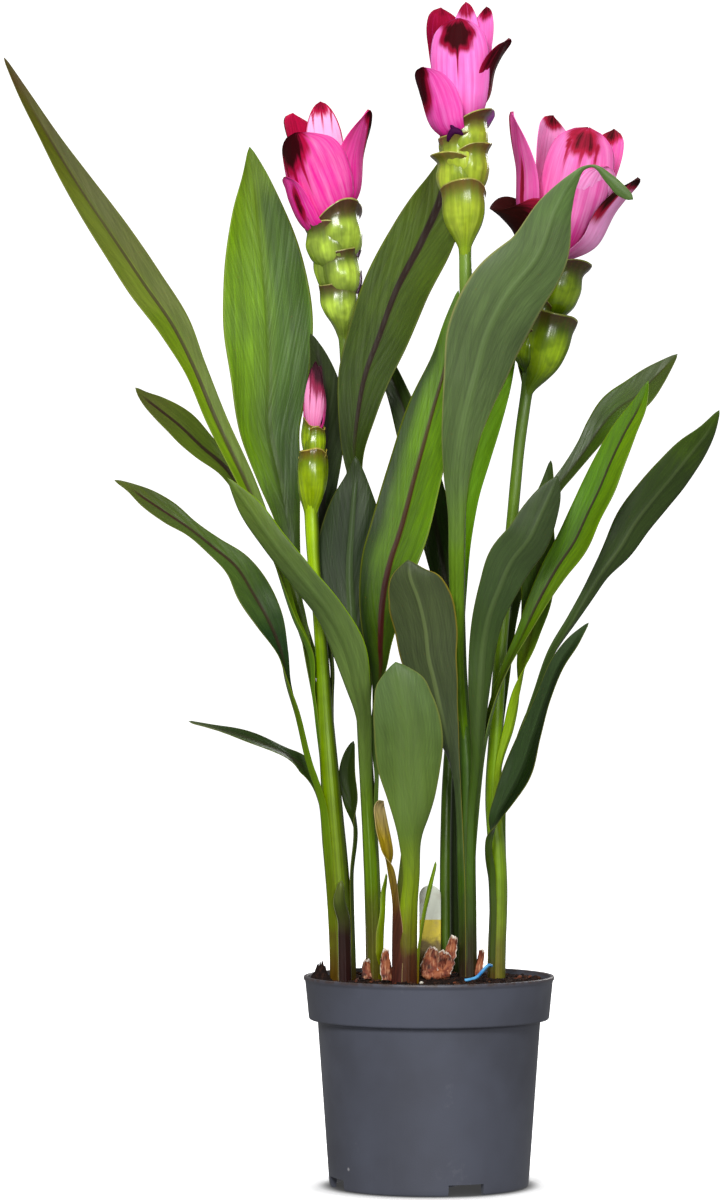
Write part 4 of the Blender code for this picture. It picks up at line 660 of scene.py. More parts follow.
def leafMaterial(name, look, seed):
    # Colours run along the leaf, another colour lies over either half, streaks follow the side veins, and
    # the rib and the edge have their own colours. The rib fades along the leaf.
    material, tree, shader = newMaterial(name, Specular_IOR_Level=0.22, Subsurface_Weight=0.08,
                                         Subsurface_Radius=(0.6, 1.0, 0.3), Subsurface_Scale=0.0012)
    along, across, offset, length = fieldsOf(tree, "along", "across", "offset", "length")
    vein, blade, under = fieldsOf(tree, "vein", "blade", "under")
    broad = cloud(tree, objectPlace(tree), 38.0, 3.0)
    streak = drawnOut(tree, vein, 1.0, length, 0.025, seed * 3.7, 2.0, 0.55, 1.1)
    fine = drawnOut(tree, offset, 1.6, length, 0.02, seed * 2.3, 2.0, 0.5)
    bands = drawnOut(tree, offset, 0.24, length, 0.012, seed * 1.7, 2.0, 0.5)
    shifted = shaken(tree, along, broad, 0.22)
    upper = colourBand(tree, shifted, look["upper"])
    # Over either half lies another colour; on some leaves it is painted shade where that half lies in shadow
    for (colour, amount), way in ((look["plus"], 1), (look["minus"], -1)):
        if amount:
            low, high = look["half"][0] * way, look["half"][1] * way
            half = between(tree, calc(tree, "ADD", across, times(tree, broad, 0.1)), low, high)
            upper = mixed(tree, times(tree, times(tree, half, blade), amount), upper, colour)
    shade, stripes = between(tree, broad, 0.32, 0.68, 0.90, 1.08), look["stripes"]
    for drawn, less, more in ((streak, 0.6, 0.35), (fine, 0.7, 0.4), (bands, 0.7, 0.45)):
        striped = between(tree, drawn, 0.3, 0.7, 1.0 - stripes * less, 1.0 + stripes * more)
        shade = times(tree, shade, striped)
    base = shaded(tree, mixed(tree, under, upper, colourBand(tree, shifted, look["under"])), shade)
    colour, footWidth, tipWidth, footAmount, tipAmount = look["rib"]
    if footAmount or tipAmount:
        width = between(tree, along, 0.35, 1.0, footWidth, tipWidth)
        reach = shaken(tree, calc(tree, "DIVIDE", calc(tree, "ABSOLUTE", offset), width), fine, 0.5)
        amount = times(tree, between(tree, reach, 1.05, 0.6),
                       between(tree, along, 0.4, 0.95, footAmount, tipAmount))
        base = mixed(tree, times(tree, amount, blade), base, colour)
    colour, amount = look["edge"]
    rim = between(tree, calc(tree, "ABSOLUTE", across), 0.93, 0.99, 0.0, amount * 0.75)
    base = mixed(tree, rim, base, colour)
    specks = between(tree, cloud(tree, objectPlace(tree), 900.0, 1.0), 0.74, 0.80, 0.0, 0.35)
    base = mixed(tree, specks, base, (120, 84, 50))
    tree.links.new(enriched(tree, base, 1.25, look["value"]), shader.inputs["Base Color"])
    tree.links.new(between(tree, streak, 0.3, 0.7, look["gloss"] + 0.08, look["gloss"] - 0.08),
                   shader.inputs["Roughness"])
    bumped(tree, shader, calc(tree, "ADD", times(tree, streak, 0.6), times(tree, fine, 0.7)), 0.5, 0.25)
    return material


def makeLeaves():
    # Each leaf is one piece with its own material, drawn from its number
    for seed, (name, own) in enumerate(leaves.items()):
        leaf = {**leafDefaults, **own}
        makePiece(name + "_blade", leafSkin(leaf, seed * 7 + 1), leafMaterial(name, leaf, seed + 1),
                  leaf["slot"], name)
    print("leaves:", len(leaves))


makeLeaves()


# Stems: colours from the soil upwards, and a darker colour and its amount on the right side, painted shade on
# the side away from the light
stems = {
    "bud": dict(colours=[(0, (92, 54, 52)), (0.08, (96, 64, 50)), (0.19, (112, 130, 50)),
                         (0.6, (118, 148, 50)), (0.75, (168, 204, 62)), (1, (168, 200, 62))],
                right=((34, 44, 14), 0.85)),
    "left": dict(colours=[(0, (96, 48, 40)), (0.07, (92, 66, 44)), (0.16, (96, 116, 46)),
                          (0.3, (96, 124, 46)), (0.8, (92, 118, 30)), (1, (150, 180, 54))],
                 right=((50, 74, 20), 0.5)),
    "young": dict(colours=[(0, (74, 44, 38)), (0.4, (84, 56, 44)), (0.68, (104, 112, 54)),
                           (1, (116, 146, 62))],
                  right=((60, 84, 26), 0.4)),
    "slim": dict(colours=[(0, (84, 64, 40)), (0.25, (96, 126, 40)), (1, (106, 144, 44))],
                 right=((52, 76, 26), 0.5)),
    "middle": dict(colours=[(0, (58, 34, 36)), (0.06, (64, 46, 40)), (0.12, (66, 84, 38)),
                            (0.3, (70, 98, 40)), (0.55, (96, 128, 52)), (1, (150, 182, 84))],
                   right=((50, 70, 26), 0.5)),
    "right": dict(colours=[(0, (96, 66, 44)), (0.08, (104, 96, 44)), (0.18, (112, 138, 46)),
                           (0.4, (118, 150, 50)), (0.8, (84, 108, 46)), (1, (72, 92, 42))],
                  right=((70, 92, 30), 0.4)),
    "rear": dict(colours=[(0, (70, 52, 34)), (0.3, (66, 90, 32)), (1, (62, 86, 30))],
                 right=((44, 60, 22), 0.4)),
}
stemShape = dict(
    around=32, step=1.6,            # points round it and mm from row to row
    fibres=0.05, fibreCount=15,     # height and number of its ridges
    value=0.5)                      # how bright a stem without a flower is


def tubeSkin(points, around, step, fibres=0.0, fibreCount=0, seed=0):
    # A round skin along rows (x, y, z, radius): spine + sides r cos(a) + fronts r sin(a). Its radius is
    # lifted by `fibres` on fine ridges, and a small swell every few centimetres varies it.
    rows = np.array(points, float)
    length = np.linalg.norm(np.diff(rows[:, :3], axis=0), axis=1).sum()
    along = np.linspace(0.0, 1.0, max(int(length / step), 8))
    line = throughRows(rows, along)
    tangents = unitRows(np.gradient(line[:, :3], axis=0))
    sides = unitRows(np.cross(np.array([0.0, 1.0, 0.0]), tangents))
    fronts = np.cross(tangents, sides)
    angle = (np.arange(around) + 0.5) / around * 2 * np.pi
    swell = 1.0 + 0.02 * ripples(along * length / 18.0, seed, 3, 0.6, 1.6)[:, None]
    along = along[:, None]
    twist = 0.5 * along * length / 60.0
    radius = line[:, 3:4] * swell + fibres * np.cos(fibreCount * (angle + twist))
    skin = (line[:, None, :3] + sides[:, None, :] * (radius * np.cos(angle))[..., None]
            + fronts[:, None, :] * (radius * np.sin(angle))[..., None])
    fields = dict(along=along, turn=angle / (2 * np.pi), rightward=np.cos(angle), length=along * length)
    return skin.reshape(-1, 3), ringFaces(len(along), around), spread(fields, (len(along), around))


def stemMaterial(name, look, seed):
    # Colours from the foot up, fibres as thin streaks, and a darker colour on the right as painted shade
    material, tree, shader = newMaterial(name, 0.36, Subsurface_Weight=0.1, Specular_IOR_Level=0.4,
                                         Subsurface_Radius=(0.8, 1.2, 0.4), Subsurface_Scale=0.0015)
    along, turn, rightward, length = fieldsOf(tree, "along", "turn", "rightward", "length")
    streak = drawnOut(tree, turn, 26.0, length, 0.02, seed * 5.1)
    broad = drawnOut(tree, turn, 3.0, length, 0.05, seed * 1.9)
    base = colourBand(tree, shaken(tree, along, broad, 0.16), look["colours"])
    colour, amount = look["right"]
    # Painted shade: the right side turns to the darker colour
    base = mixed(tree, times(tree, between(tree, rightward, 0.0, 0.7), amount), base, colour)
    shade = times(tree, between(tree, streak, 0.35, 0.65, 0.84, 1.14),
                 between(tree, broad, 0.3, 0.7, 0.9, 1.1))
    base = shaded(tree, base, shade)
    tree.links.new(enriched(tree, base, 1.3, stemShape["value"]), shader.inputs["Base Color"])
    bumped(tree, shader, streak, 0.45, 0.3)
    return material


def makeStems():
    for seed, shoot in enumerate(("young", "slim", "rear")):
        skin = tubeSkin(shoots[shoot], stemShape["around"], stemShape["step"], stemShape["fibres"],
                        stemShape["fibreCount"], seed)
        look = stemMaterial("stem_" + shoot + "_skin", stems[shoot], seed)
        makePiece("stem_" + shoot + "_round", skin, look, "stalk", "stem_" + shoot)
    print("stems made")


makeStems()


# Flower heads. A head stands on its shoot's top and leans by `lean` degrees to +X. A bract is (turn, foot
# height, rise, reach, half width, curl): reach is its largest distance from the head's axis and curl how far
# its tip leans out. A green bract may change what pouchShape says and a pink one what plainMarks says. A
# core is (height, radius) up the head's axis, and spikes and florets are small dark tubes (x, y, z, radius).
funnel = ([0.0, 0.15, 0.3, 0.5, 0.7, 0.85, 0.93, 1.0], [0.0, 0.10, 0.34, 0.78, 1.0, 0.94, 0.9, 1.04])
funnelFoot = dict(bulge=funnel, creaseShade=0.25)
heads = {
    "left": dict(
        lean=-6.0,
        green=[(250, -4, 31, 10.5, 13, 0.3, funnelFoot), (70, -3, 33, 10.0, 13, 0.5, funnelFoot),
               (318, 14, 28.5, 12.0, 15, 0.8), (150, 17, 28, 12.0, 14, 0.8),
               (224, 29, 28.0, 14.4, 14, 0.8, dict(drop=0.2)),
               (306, 31, 34.5, 15.2, 16, 1.2, dict(drop=0.4, dark=0.75)), (100, 31, 27, 11.8, 14, 0.6)],
        core=[(0, 3.2), (14, 5.0), (30, 6.2), (47, 6.2), (55, 5.2)],
        spikes=[[(8.5, -4, 20, 1.3), (10.6, -4.4, 26, 1.0), (11.5, -4.6, 31, 0.3)],
                [(10, -3.5, 38, 1.4), (12.2, -3.8, 45, 1.1), (12.6, -4, 49, 1.3), (12.7, -4, 51.5, 0.4)]],
        pinkFoot=55.6, pinkCore=[(0, 4.8), (12, 6.5), (28, 5.0), (40, 2.0)],
        pink=[((232, -7, 52, 19, 15, 1),
               dict(spot=(4.0, 7.5, 14.0, 13.0), streak=24, twist=40, full=1.0, widen=1.42, plus=0.6,
                    minus=0.15, pale=0.24)),
              ((199, -8, 33, 19, 14, 2),
               dict(spot=(12.0, -5.0, 12.0, 4.5), depth=0.7, streak=12, plus=0.5, minus=0.1, full=0.8,
                    pale=0.15)),
              ((330, 0, 53, 18, 14, 8),
               dict(spot=(0.0, -3.0, 9.0, 6.0), minus=0.95, edgeFrom=0.2, edgeTo=0.75, depth=0.85,
                    pale=0.2)),
              ((89, 6, 56, 14, 10.5, 0),
               dict(spot=(0.5, 0.0, 11.0, 9.0), streak=19, depth=0.64, full=0.3, plus=0.5, minus=0.5,
                    pale=0.88)),
              ((138, 6, 51.5, 15.5, 14, 3),
               dict(spot=(0.0, 0.0, 12.0, 12.0), depth=0.5, inside=0.55, full=0.6, plus=0.8, minus=0.8,
                    pale=0.1)),
              ((285, 11, 24, 11, 11, 0), dict(pale=0.35))],
        deep=(232, 34, 150), light=(255, 190, 236), dark=(52, 2, 8), mid=(176, 12, 62)),
    "middle": dict(
        lean=-1.5,
        green=[(265, -6, 37, 12.5, 14, 0.6, funnelFoot), (95, -5, 36, 11.5, 14, 0.8, funnelFoot),
               (205, 18, 27, 13.0, 13, 3.0), (330, 21, 28, 13.0, 13, 1.8), (110, 33, 27, 12.0, 14, 1.0),
               (258, 27, 27, 12.5, 13, 1.0),
               (325, 35, 31, 13.5, 14, 3.6, dict(drop=0.55, dark=0.7, violet=0.35))],
        core=[(0, 3.3), (14, 5.4), (30, 6.2), (50, 6.2), (60, 5.2)],
        florets=[[(-7.0, -9.6, -10.4, 0.8), (-6.0, -11.8, -7.6, 1.4), (-4.2, -12.8, -5.9, 1.7),
                  (-2.2, -13.0, -6.2, 1.5), (-0.4, -12.4, -7.4, 1.0), (0.4, -11.4, -8.6, 0.3)],
                 [(-3.4, -11.6, -7.6, 1.0), (-4.4, -12.6, -4.8, 1.2), (-5.2, -12.9, -3.4, 0.9),
                  (-5.8, -12.7, -2.6, 0.3)]],
        pinkFoot=60.6, pinkCore=[(0, 4.8), (12, 6.5), (28, 5.0), (40, 2.0)],
        pink=[((268, -9, 57, 16, 16, -2),
               dict(spot=(7.5, 1.0, 9.0, 9.0), streak=22, spread=0.2, full=1.0, plus=0.1, minus=0.1,
                    pale=0.54)),
              ((216, -12, 37.5, 18.5, 16.5, 3.5),
               dict(spot=(2.0, 4.0, 8.0, 7.0), plus=0.9, edgeFrom=-0.5, edgeTo=0.3, minus=0.0, full=0.7)),
              ((341, 1, 38, 16.5, 11, 8),
               dict(spot=(8.0, 0.0, 30.0, 24.0), depth=0.74, full=0.9, pale=0.0)),
              ((75, 8, 51.5, 13.5, 8.5, 1),
               dict(spot=(2.0, 0.0, 13.0, 9.0), depth=0.5, full=0.2, pale=0.6)),
              ((46, 8, 49, 15.5, 9.5, 3.5),
               dict(spot=(0.0, 0.0, 10.0, 9.0), depth=0.7, minus=0.8, full=0.3, pale=0.5)),
              ((120, 7, 50, 15, 13.5, 1.5),
               dict(spot=(0.0, 0.0, 11.0, 12.0), depth=0.6, inside=0.5, full=0.5, plus=0.6, minus=0.7,
                    pale=0.2)),
              ((232, 15, 26, 10.5, 9, 0), dict(pale=0.55))],
        deep=(232, 46, 158), light=(255, 156, 232), dark=(54, 0, 6), mid=(150, 10, 50)),
    "right": dict(
        lean=13.0,
        green=[(268, -5, 43.5, 14.6, 17, 0.6, dict(drop=0.1, shift=3.4, bulge=funnel, creaseShade=0.35)),
               (70, -4, 35, 12.0, 14, 1.0, funnelFoot), (178, 20, 27, 12.0, 13, 0.8),
               (318, 32, 34, 13.6, 15, 2.6, dict(dark=0.6, drop=0.25, shift=1.6)),
               (104, 34.5, 27, 12.0, 14, 1.0), (222, 7, 21, 13.5, 7, 0.6), (238, 22, 22, 13.0, 7, 0.6)],
        core=[(0, 3.1), (14, 5.4), (30, 6.2), (50, 6.0), (60, 5.2)],
        pinkFoot=60.6, pinkCore=[(0, 4.8), (14, 7.0), (30, 5.5), (44, 2.0)],
        pink=[((270, 4, 64, 19, 19, -3),
               dict(spot=(6.5, 0.5, 11.5, 14.0), streak=21, depth=0.64, full=1.0, plus=0.1, minus=0.1,
                    pale=0.42)),
              # plus: the dark left edge here is painted shade on the petal's inner side
              ((201, 5, 63, 29.5, 15, 10),
               dict(spot=(30.0, -3.0, 20.0, 3.2), depth=0.62, plus=0.5, edgeFrom=0.6, minus=0.1)),
              ((342, 3, 48, 22, 14, 8),
               dict(spot=(0.0, 0.0, 7.0, 12.0), inside=0.9, full=0.4, plus=0.85, edgeFrom=0.35, edgeTo=0.75,
                    pale=0.8)),
              ((206, 2.0, 18.0, 26, 14, 13),
               dict(spot=(4.0, 0.0, 30.0, 30.0), depth=0.85, full=1.0, widen=1.75, cup=2.0, inside=1.0)),
              ((306, 9, 43, 18, 13, 3),
               dict(spot=(-9.0, 0.0, 1.0, 1.0), plus=0.0, minus=0.0, full=0.8, pale=0.6)),
              ((54, 6, 68, 18, 14, 4),
               dict(spot=(2.0, 0.0, 10.0, 10.0), depth=0.7, inside=0.25, full=0.5, pale=0.4)),
              ((138, 7.5, 66, 20, 16, 3),
               dict(spot=(1.5, 0.0, 8.0, 12.0), depth=0.7, inside=0.15, full=0.8, pale=0.65))],
        deep=(222, 48, 150), light=(252, 172, 226), dark=(48, 12, 10), mid=(166, 26, 58)),
    "bud": dict(
        lean=2.0,
        green=[(260, -8, 37, 8.3, 11, -2.0, funnelFoot), (80, -8, 38, 8.3, 11, -2.0, funnelFoot),
               (330, 22, 17, 6.2, 8, -0.8), (190, 24, 18, 6.2, 8, -0.8), (97, 24, 17, 6.2, 7, -0.8)],
        core=[(0, 3.2), (12, 5.2), (26, 4.6), (34, 3.6)],
        pinkFoot=34.6, pinkCore=[(0, 3.2), (8, 3.4), (20, 2.2), (26, 1.0)],
        pink=[((265, 2, 34, 4.6, 6, -3.6),
               dict(spot=(0.0, -1.0, 19.0, 5.5), streak=26, depth=0.9, plus=0.2, minus=0.8, edgeFrom=-0.1,
                    taper=0.55, arch=-0.28, pale=0.85)),
              ((25, 2, 32, 4.6, 6, -3.6),
               dict(spot=(0.0, 0.0, 16.0, 8.0), streak=24, plus=0.6, minus=0.6, taper=0.5, arch=-0.28)),
              ((145, 2, 31, 4.6, 6, -3.6),
               dict(spot=(0.0, 0.0, 16.0, 8.0), streak=24, plus=0.6, minus=0.6, taper=0.5, arch=-0.28))],
        deep=(208, 52, 132), light=(244, 150, 196), dark=(56, 24, 34), mid=(140, 40, 72)),
}

# Green colours of a head's bracts: foot, body and lip from the foot up; bright, a painted highlight where
# they bulge; deep, painted shade where they are tucked in; and the rim. rich and value scale all of them,
# stalk the stalk below them.
headLooks = {
    "left": dict(foot=(126, 150, 40), body=(104, 124, 40), bright=(184, 214, 66), deep=(44, 62, 12),
                 lip=(84, 56, 34), rim=(196, 200, 100), rich=0.98, value=1.0, stalk=1.05),
    "middle": dict(foot=(150, 178, 64), body=(136, 156, 62), bright=(184, 202, 84), deep=(78, 104, 24),
                   lip=(120, 96, 50), rim=(204, 210, 112), rich=1.1, value=0.96, stalk=0.92),
    "right": dict(foot=(92, 118, 34), body=(84, 108, 30), bright=(154, 182, 62), deep=(40, 56, 8),
                  lip=(74, 60, 32), rim=(160, 170, 84), rich=1.1, value=0.9, stalk=1.3),
    "bud": dict(foot=(158, 194, 40), body=(120, 146, 18), bright=(166, 194, 36), deep=(70, 92, 8),
                lip=(112, 92, 40), rim=(226, 210, 130), rich=1.2, value=0.88, stalk=1.1),
}
bractShape = dict(
    rows=46, columns=36, thick=0.75, edge=0.30,   # faces along and across, thickness within and at the edge
    crinkle=0.5, ribs=9.0, ribHeight=0.12)
petalShape = dict(
    places=[0.0, 0.25, 0.5, 0.75, 0.9, 1.0],      # parts of its length, and its width there in two outlines
    pointed=[0.35, 0.80, 1.0, 0.78, 0.44, 0.07], full=[0.35, 0.84, 1.0, 0.98, 0.80, 0.42],
    pointedEnd=0.05, fullEnd=0.12,                # the part of its length that rounds off at the tip
    flare=1.2)                                    # how far its edges curl out
plainMarks = dict(
    spot=(0.0, 0.0, 3.0, 3.0),    # dark patch: mm below the tip, mm aside, and its height and width in mm
    depth=1.0,                    # how dark the patch is
    streak=0.0, spread=0.75,      # mm that streaks run down from it, and how far across they stand
    # Either edge's darkness is a dark margin, and on some petals painted shade where the edge curls from the
    # light
    plus=0.3, minus=0.3,          # how dark either edge is
    edgeFrom=0.84, edgeTo=1.0,    # where across the petal that begins and is full
    inside=0.0,                   # how dark the inner side is
    pale=0.3,                     # how pale the pink is
    full=0.0, widen=1.0,          # outline from pointed to full, and its width
    taper=0.0, twist=0.0,         # narrower towards the tip, turned at the foot (degrees)
    arch=0.0, cup=1.0)            # back bowed up, and how far it is rolled round the head
pouchShape = dict(
    wrap=1.5,            # how far round the head a pouch reaches, as a part of half width over reach
    drop=0.16,           # how much lower its lip is at the sides
    # its swelling from foot to lip
    bulge=([0.0, 0.12, 0.35, 0.6, 0.82, 0.92, 1.0], [0.0, 0.30, 0.80, 1.0, 0.88, 0.88, 1.04]),
    tuck=0.5,            # how far its sides draw in to the core
    dent=1.0, lipWave=1.8,
    dark=0.4, violet=-9.0,   # how brown its lip is, and where along the lip a violet tip stands
    # The next value sets the painted shade where a pouch is tucked in
    creaseShade=1.0,          # how dark it is where it is tucked in
    shift=0.0)           # how far it leans out to +X


def placed(skin, place):
    # A skin moved by a matrix in metres
    points, faces, fields = skin
    moved = points @ np.array(place.to_3x3()).T + np.array(place.translation) / mm
    return moved, faces, fields


def petalSkin(petal, marks, seed):
    # The back of a petal runs out from the head's axis and up, turned by `twist` at its foot. Across it is
    # an arc round that axis, whose half width follows the outline. Ribs, crinkles and slow waves lift it,
    # and its edges curl outwards.
    turn, foot, rise, reach, half, curl = petal
    shape, petals, marks = bractShape, petalShape, {**plainMarks, **marks}
    t = np.linspace(0.0, 1.0, shape["rows"])
    column, v = t[:, None], np.linspace(-1.0, 1.0, shape["columns"] + 1)
    bearing = np.radians(turn + marks["twist"] * (1 - t) ** 1.5)
    side = np.stack([np.cos(bearing), np.sin(bearing), np.zeros(len(t))], axis=1)
    back = throughRows([(1.5, 0, foot), (0.72 * reach, 0, foot + (0.22 + 0.5 * marks["arch"]) * rise),
                        (reach, 0, foot + (0.62 + marks["arch"]) * rise), (reach + curl, 0, foot + rise)], t)
    spine = back[:, :1] * side + back[:, 2:3] * np.array([0.0, 0.0, 1.0])
    full = marks["full"]
    parts = np.array(petals["pointed"]) * (1 - full) + np.array(petals["full"]) * full
    last = petals["pointedEnd"] * (1 - full) + petals["fullEnd"] * full
    rounded = np.maximum(np.sqrt(np.clip(1 - ((t - 1 + last) / last).clip(0, 1) ** 2, 0, 1)), 0.04)
    halves = half * marks["widen"] * softened(np.interp(t, petals["places"], parts)) * rounded
    halves = halves * (1 - marks["taper"] * smoothStep(0.3, 1.0, t))
    folds = marks["cup"] * (halves / (0.55 * back[:, 0] + 0.45 * reach + 1.0))[:, None]
    facing = unitRows(-side + np.array([0.0, 0.0, 0.05]) * column)
    arc, normal, _ = arcStrip(spine, facing, halves[:, None] / np.maximum(folds, 0.02), folds * v)
    curled = petals["flare"] * np.abs(v) ** 3 * smoothStep(0.35, 0.95, column)
    curled = curled + 0.4 * smoothStep(0.8, 1, column) ** 2
    crinkle = shape["crinkle"] * 0.6 * ripples(v * 4.0 + 2.0 * column, seed, 4, 0.7, 1.8)
    crinkle = crinkle * smoothStep(0.45, 1.0, np.maximum(column, np.abs(v) * (0.4 + 0.6 * column)))
    ribs = 0.5 * shape["ribHeight"] * np.cos(np.pi * shape["ribs"] * v) * (1 - smoothStep(0.8, 1, np.abs(v)))
    slow = 0.5 * ripples(2.4 * v + 3.0 * column, seed + 9, 3, 0.6, 1.5) * smoothStep(0.1, 0.5, column)
    top = arc + normal * (ribs + crinkle + slow - curled)[..., None]
    keel = 0.5 * np.exp(-(v / 0.10) ** 2) * (1 - column)
    inward = (1 - np.abs(v) ** 4) * (1 - smoothStep(0.75, 1, column))
    thick = shape["edge"] + (shape["thick"] - shape["edge"]) * inward + keel
    inner, outer = petalMarks(marks, rise, halves, column, v, seed)
    fields = dict(along=column, across=v, under=(0.0, 1.0), markAndShade=(inner, outer), pale=marks["pale"],
                  number=float(seed % 7), brown=0.0)
    return twoSided(top, top - normal * thick[..., None], fields)


def petalMarks(marks, rise, halves, column, v, seed):
    # How dark a petal is, 0 to 1, on its inner and outer side. The patch is an oval with a ragged outline:
    # its depth less the distance from its middle in parts of its size. Streaks run down from it, a line runs
    # along either edge (a dark margin, on some petals also painted shade), the tip has a thin rim, and the
    # inner side darkens from its foot up.
    down, aside, tall, broad = marks["spot"]
    below, beside = (1 - column) * rise - down, v * halves[:, None] - aside
    ragged = 0.09 * ripples(np.arctan2(beside, below) * 3.0, seed + 20, 4, 0.8, 2.6)
    oval = (marks["depth"] + 0.30 + ragged - np.hypot(below / tall, beside / broad)).clip(0, marks["depth"])
    streaked = below / max(marks["streak"], 0.1)
    streaks = (1.0 - 0.75 * streaked) * smoothStep(0.35, 0.95, np.cos(beside * 2 * np.pi / (0.5 * broad)))
    streaks = streaks * (streaked > 0) * (np.abs(beside) < broad * marks["spread"])
    streaks = marks["depth"] * streaks * (marks["streak"] > 0)
    plus, minus = (smoothStep(marks["edgeFrom"], marks["edgeTo"], way) for way in (v, -v))
    edge = np.maximum(marks["plus"] * plus, marks["minus"] * minus) * smoothStep(0.3, 0.75, column)
    rim = 0.45 * smoothStep(0.965, 1.0, column)
    outer = np.maximum(np.maximum(oval, streaks), np.maximum(edge, rim)).clip(0, 1)
    return np.maximum(outer, marks["inside"] * smoothStep(0.1, 0.6, column)), outer


def pouchSkin(bract, core, seed):
    # A green bract is a pouch round the head's axis: its radius grows from the core to its reach, draws in
    # under the lip and flares at it. Away from its middle the lip drops and the sides tuck in to the core.
    # Ribs run up it, dents and a crinkled lip are drawn from its seed.
    turn, foot, rise, reach, half, curl, *own = bract
    shape, pouch = bractShape, {**pouchShape, **(own[0] if own else {})}
    t, v = np.linspace(0.0, 1.0, shape["rows"])[:, None], np.linspace(-1.0, 1.0, shape["columns"] + 1)
    wrap = pouch["wrap"] * half / reach * (0.72 + 0.28 * smoothStep(0.0, 0.4, t))
    angle = math.radians(turn) + wrap * v
    lipWave = pouch["lipWave"] * ripples(v * 3.2, seed, 4, 0.7, 2.2) * t**3
    rising = t * (1 - pouch["drop"] * np.abs(v) ** 2.2)
    height = foot + rise * rising + lipWave
    middle = np.interp(height, [row[0] for row in core], [row[1] for row in core]) - 0.6
    bulge = softened(np.interp(t[:, 0], *pouch["bulge"]))[:, None]
    tucked = 1.0 - pouch["tuck"] * np.abs(v) ** 3.0 * (1 - 0.35 * smoothStep(0.7, 1.0, t))
    crinkle = shape["crinkle"] * ripples(v * 6.0 + 2.0 * t, seed + 5, 4, 0.7, 1.8) * smoothStep(0.75, 1.0, t)
    ribs = shape["ribHeight"] * np.cos(np.pi * shape["ribs"] * v) * smoothStep(0.0, 0.25, t)
    dents = pouch["dent"] * ripples(3.0 * v + 4.0 * t, seed + 9, 4, 0.7, 1.8) * np.sin(np.pi * t)
    radius = middle + (reach - middle) * bulge * tucked + curl * smoothStep(0.8, 1.0, t) * (1 - v**2)
    radius = np.maximum(radius + crinkle + ribs + dents, 2.0)
    inward = 1 - smoothStep(0.7, 1.0, np.maximum(t, np.abs(v)))
    thick = shape["edge"] + (shape["thick"] - shape["edge"]) * inward

    def at(away):
        outX = away * np.cos(angle) + pouch["shift"] * smoothStep(0.0, 0.4, t)
        return np.stack([outX, away * np.sin(angle), np.broadcast_to(height, angle.shape)], axis=-1)

    # Painted shade: darker where the sides tuck in to the core and near the foot, none towards the lip
    low = pouch["creaseShade"] * (1 - bulge * tucked) * (1 - smoothStep(0.55, 0.8, t))
    tip = np.exp(-((v - pouch["violet"]) / 0.2) ** 2) * smoothStep(0.78, 0.9, t)
    fields = dict(along=t, across=v[::-1], under=(0.0, 1.0), markAndShade=low[:, ::-1], pale=tip[:, ::-1],
                  brown=pouch["dark"], number=float(seed % 7))
    return twoSided(at(radius - thick)[:, ::-1], at(radius)[:, ::-1], fields)


def coreSkin(points, around, step, pale=0.0, seed=0, kind=2.0, **shape):
    # A stem or core with the same fields as the bracts that stand on it; kind 3 is a dark spike or floret
    skin, faces, own = tubeSkin(points, around, step, seed=seed, **shape)
    same = dict(under=kind, markAndShade=0.0, pale=pale, number=0.0, brown=0.0)
    return skin, faces, dict(along=own["along"], across=own["rightward"], **spread(same, len(skin)))


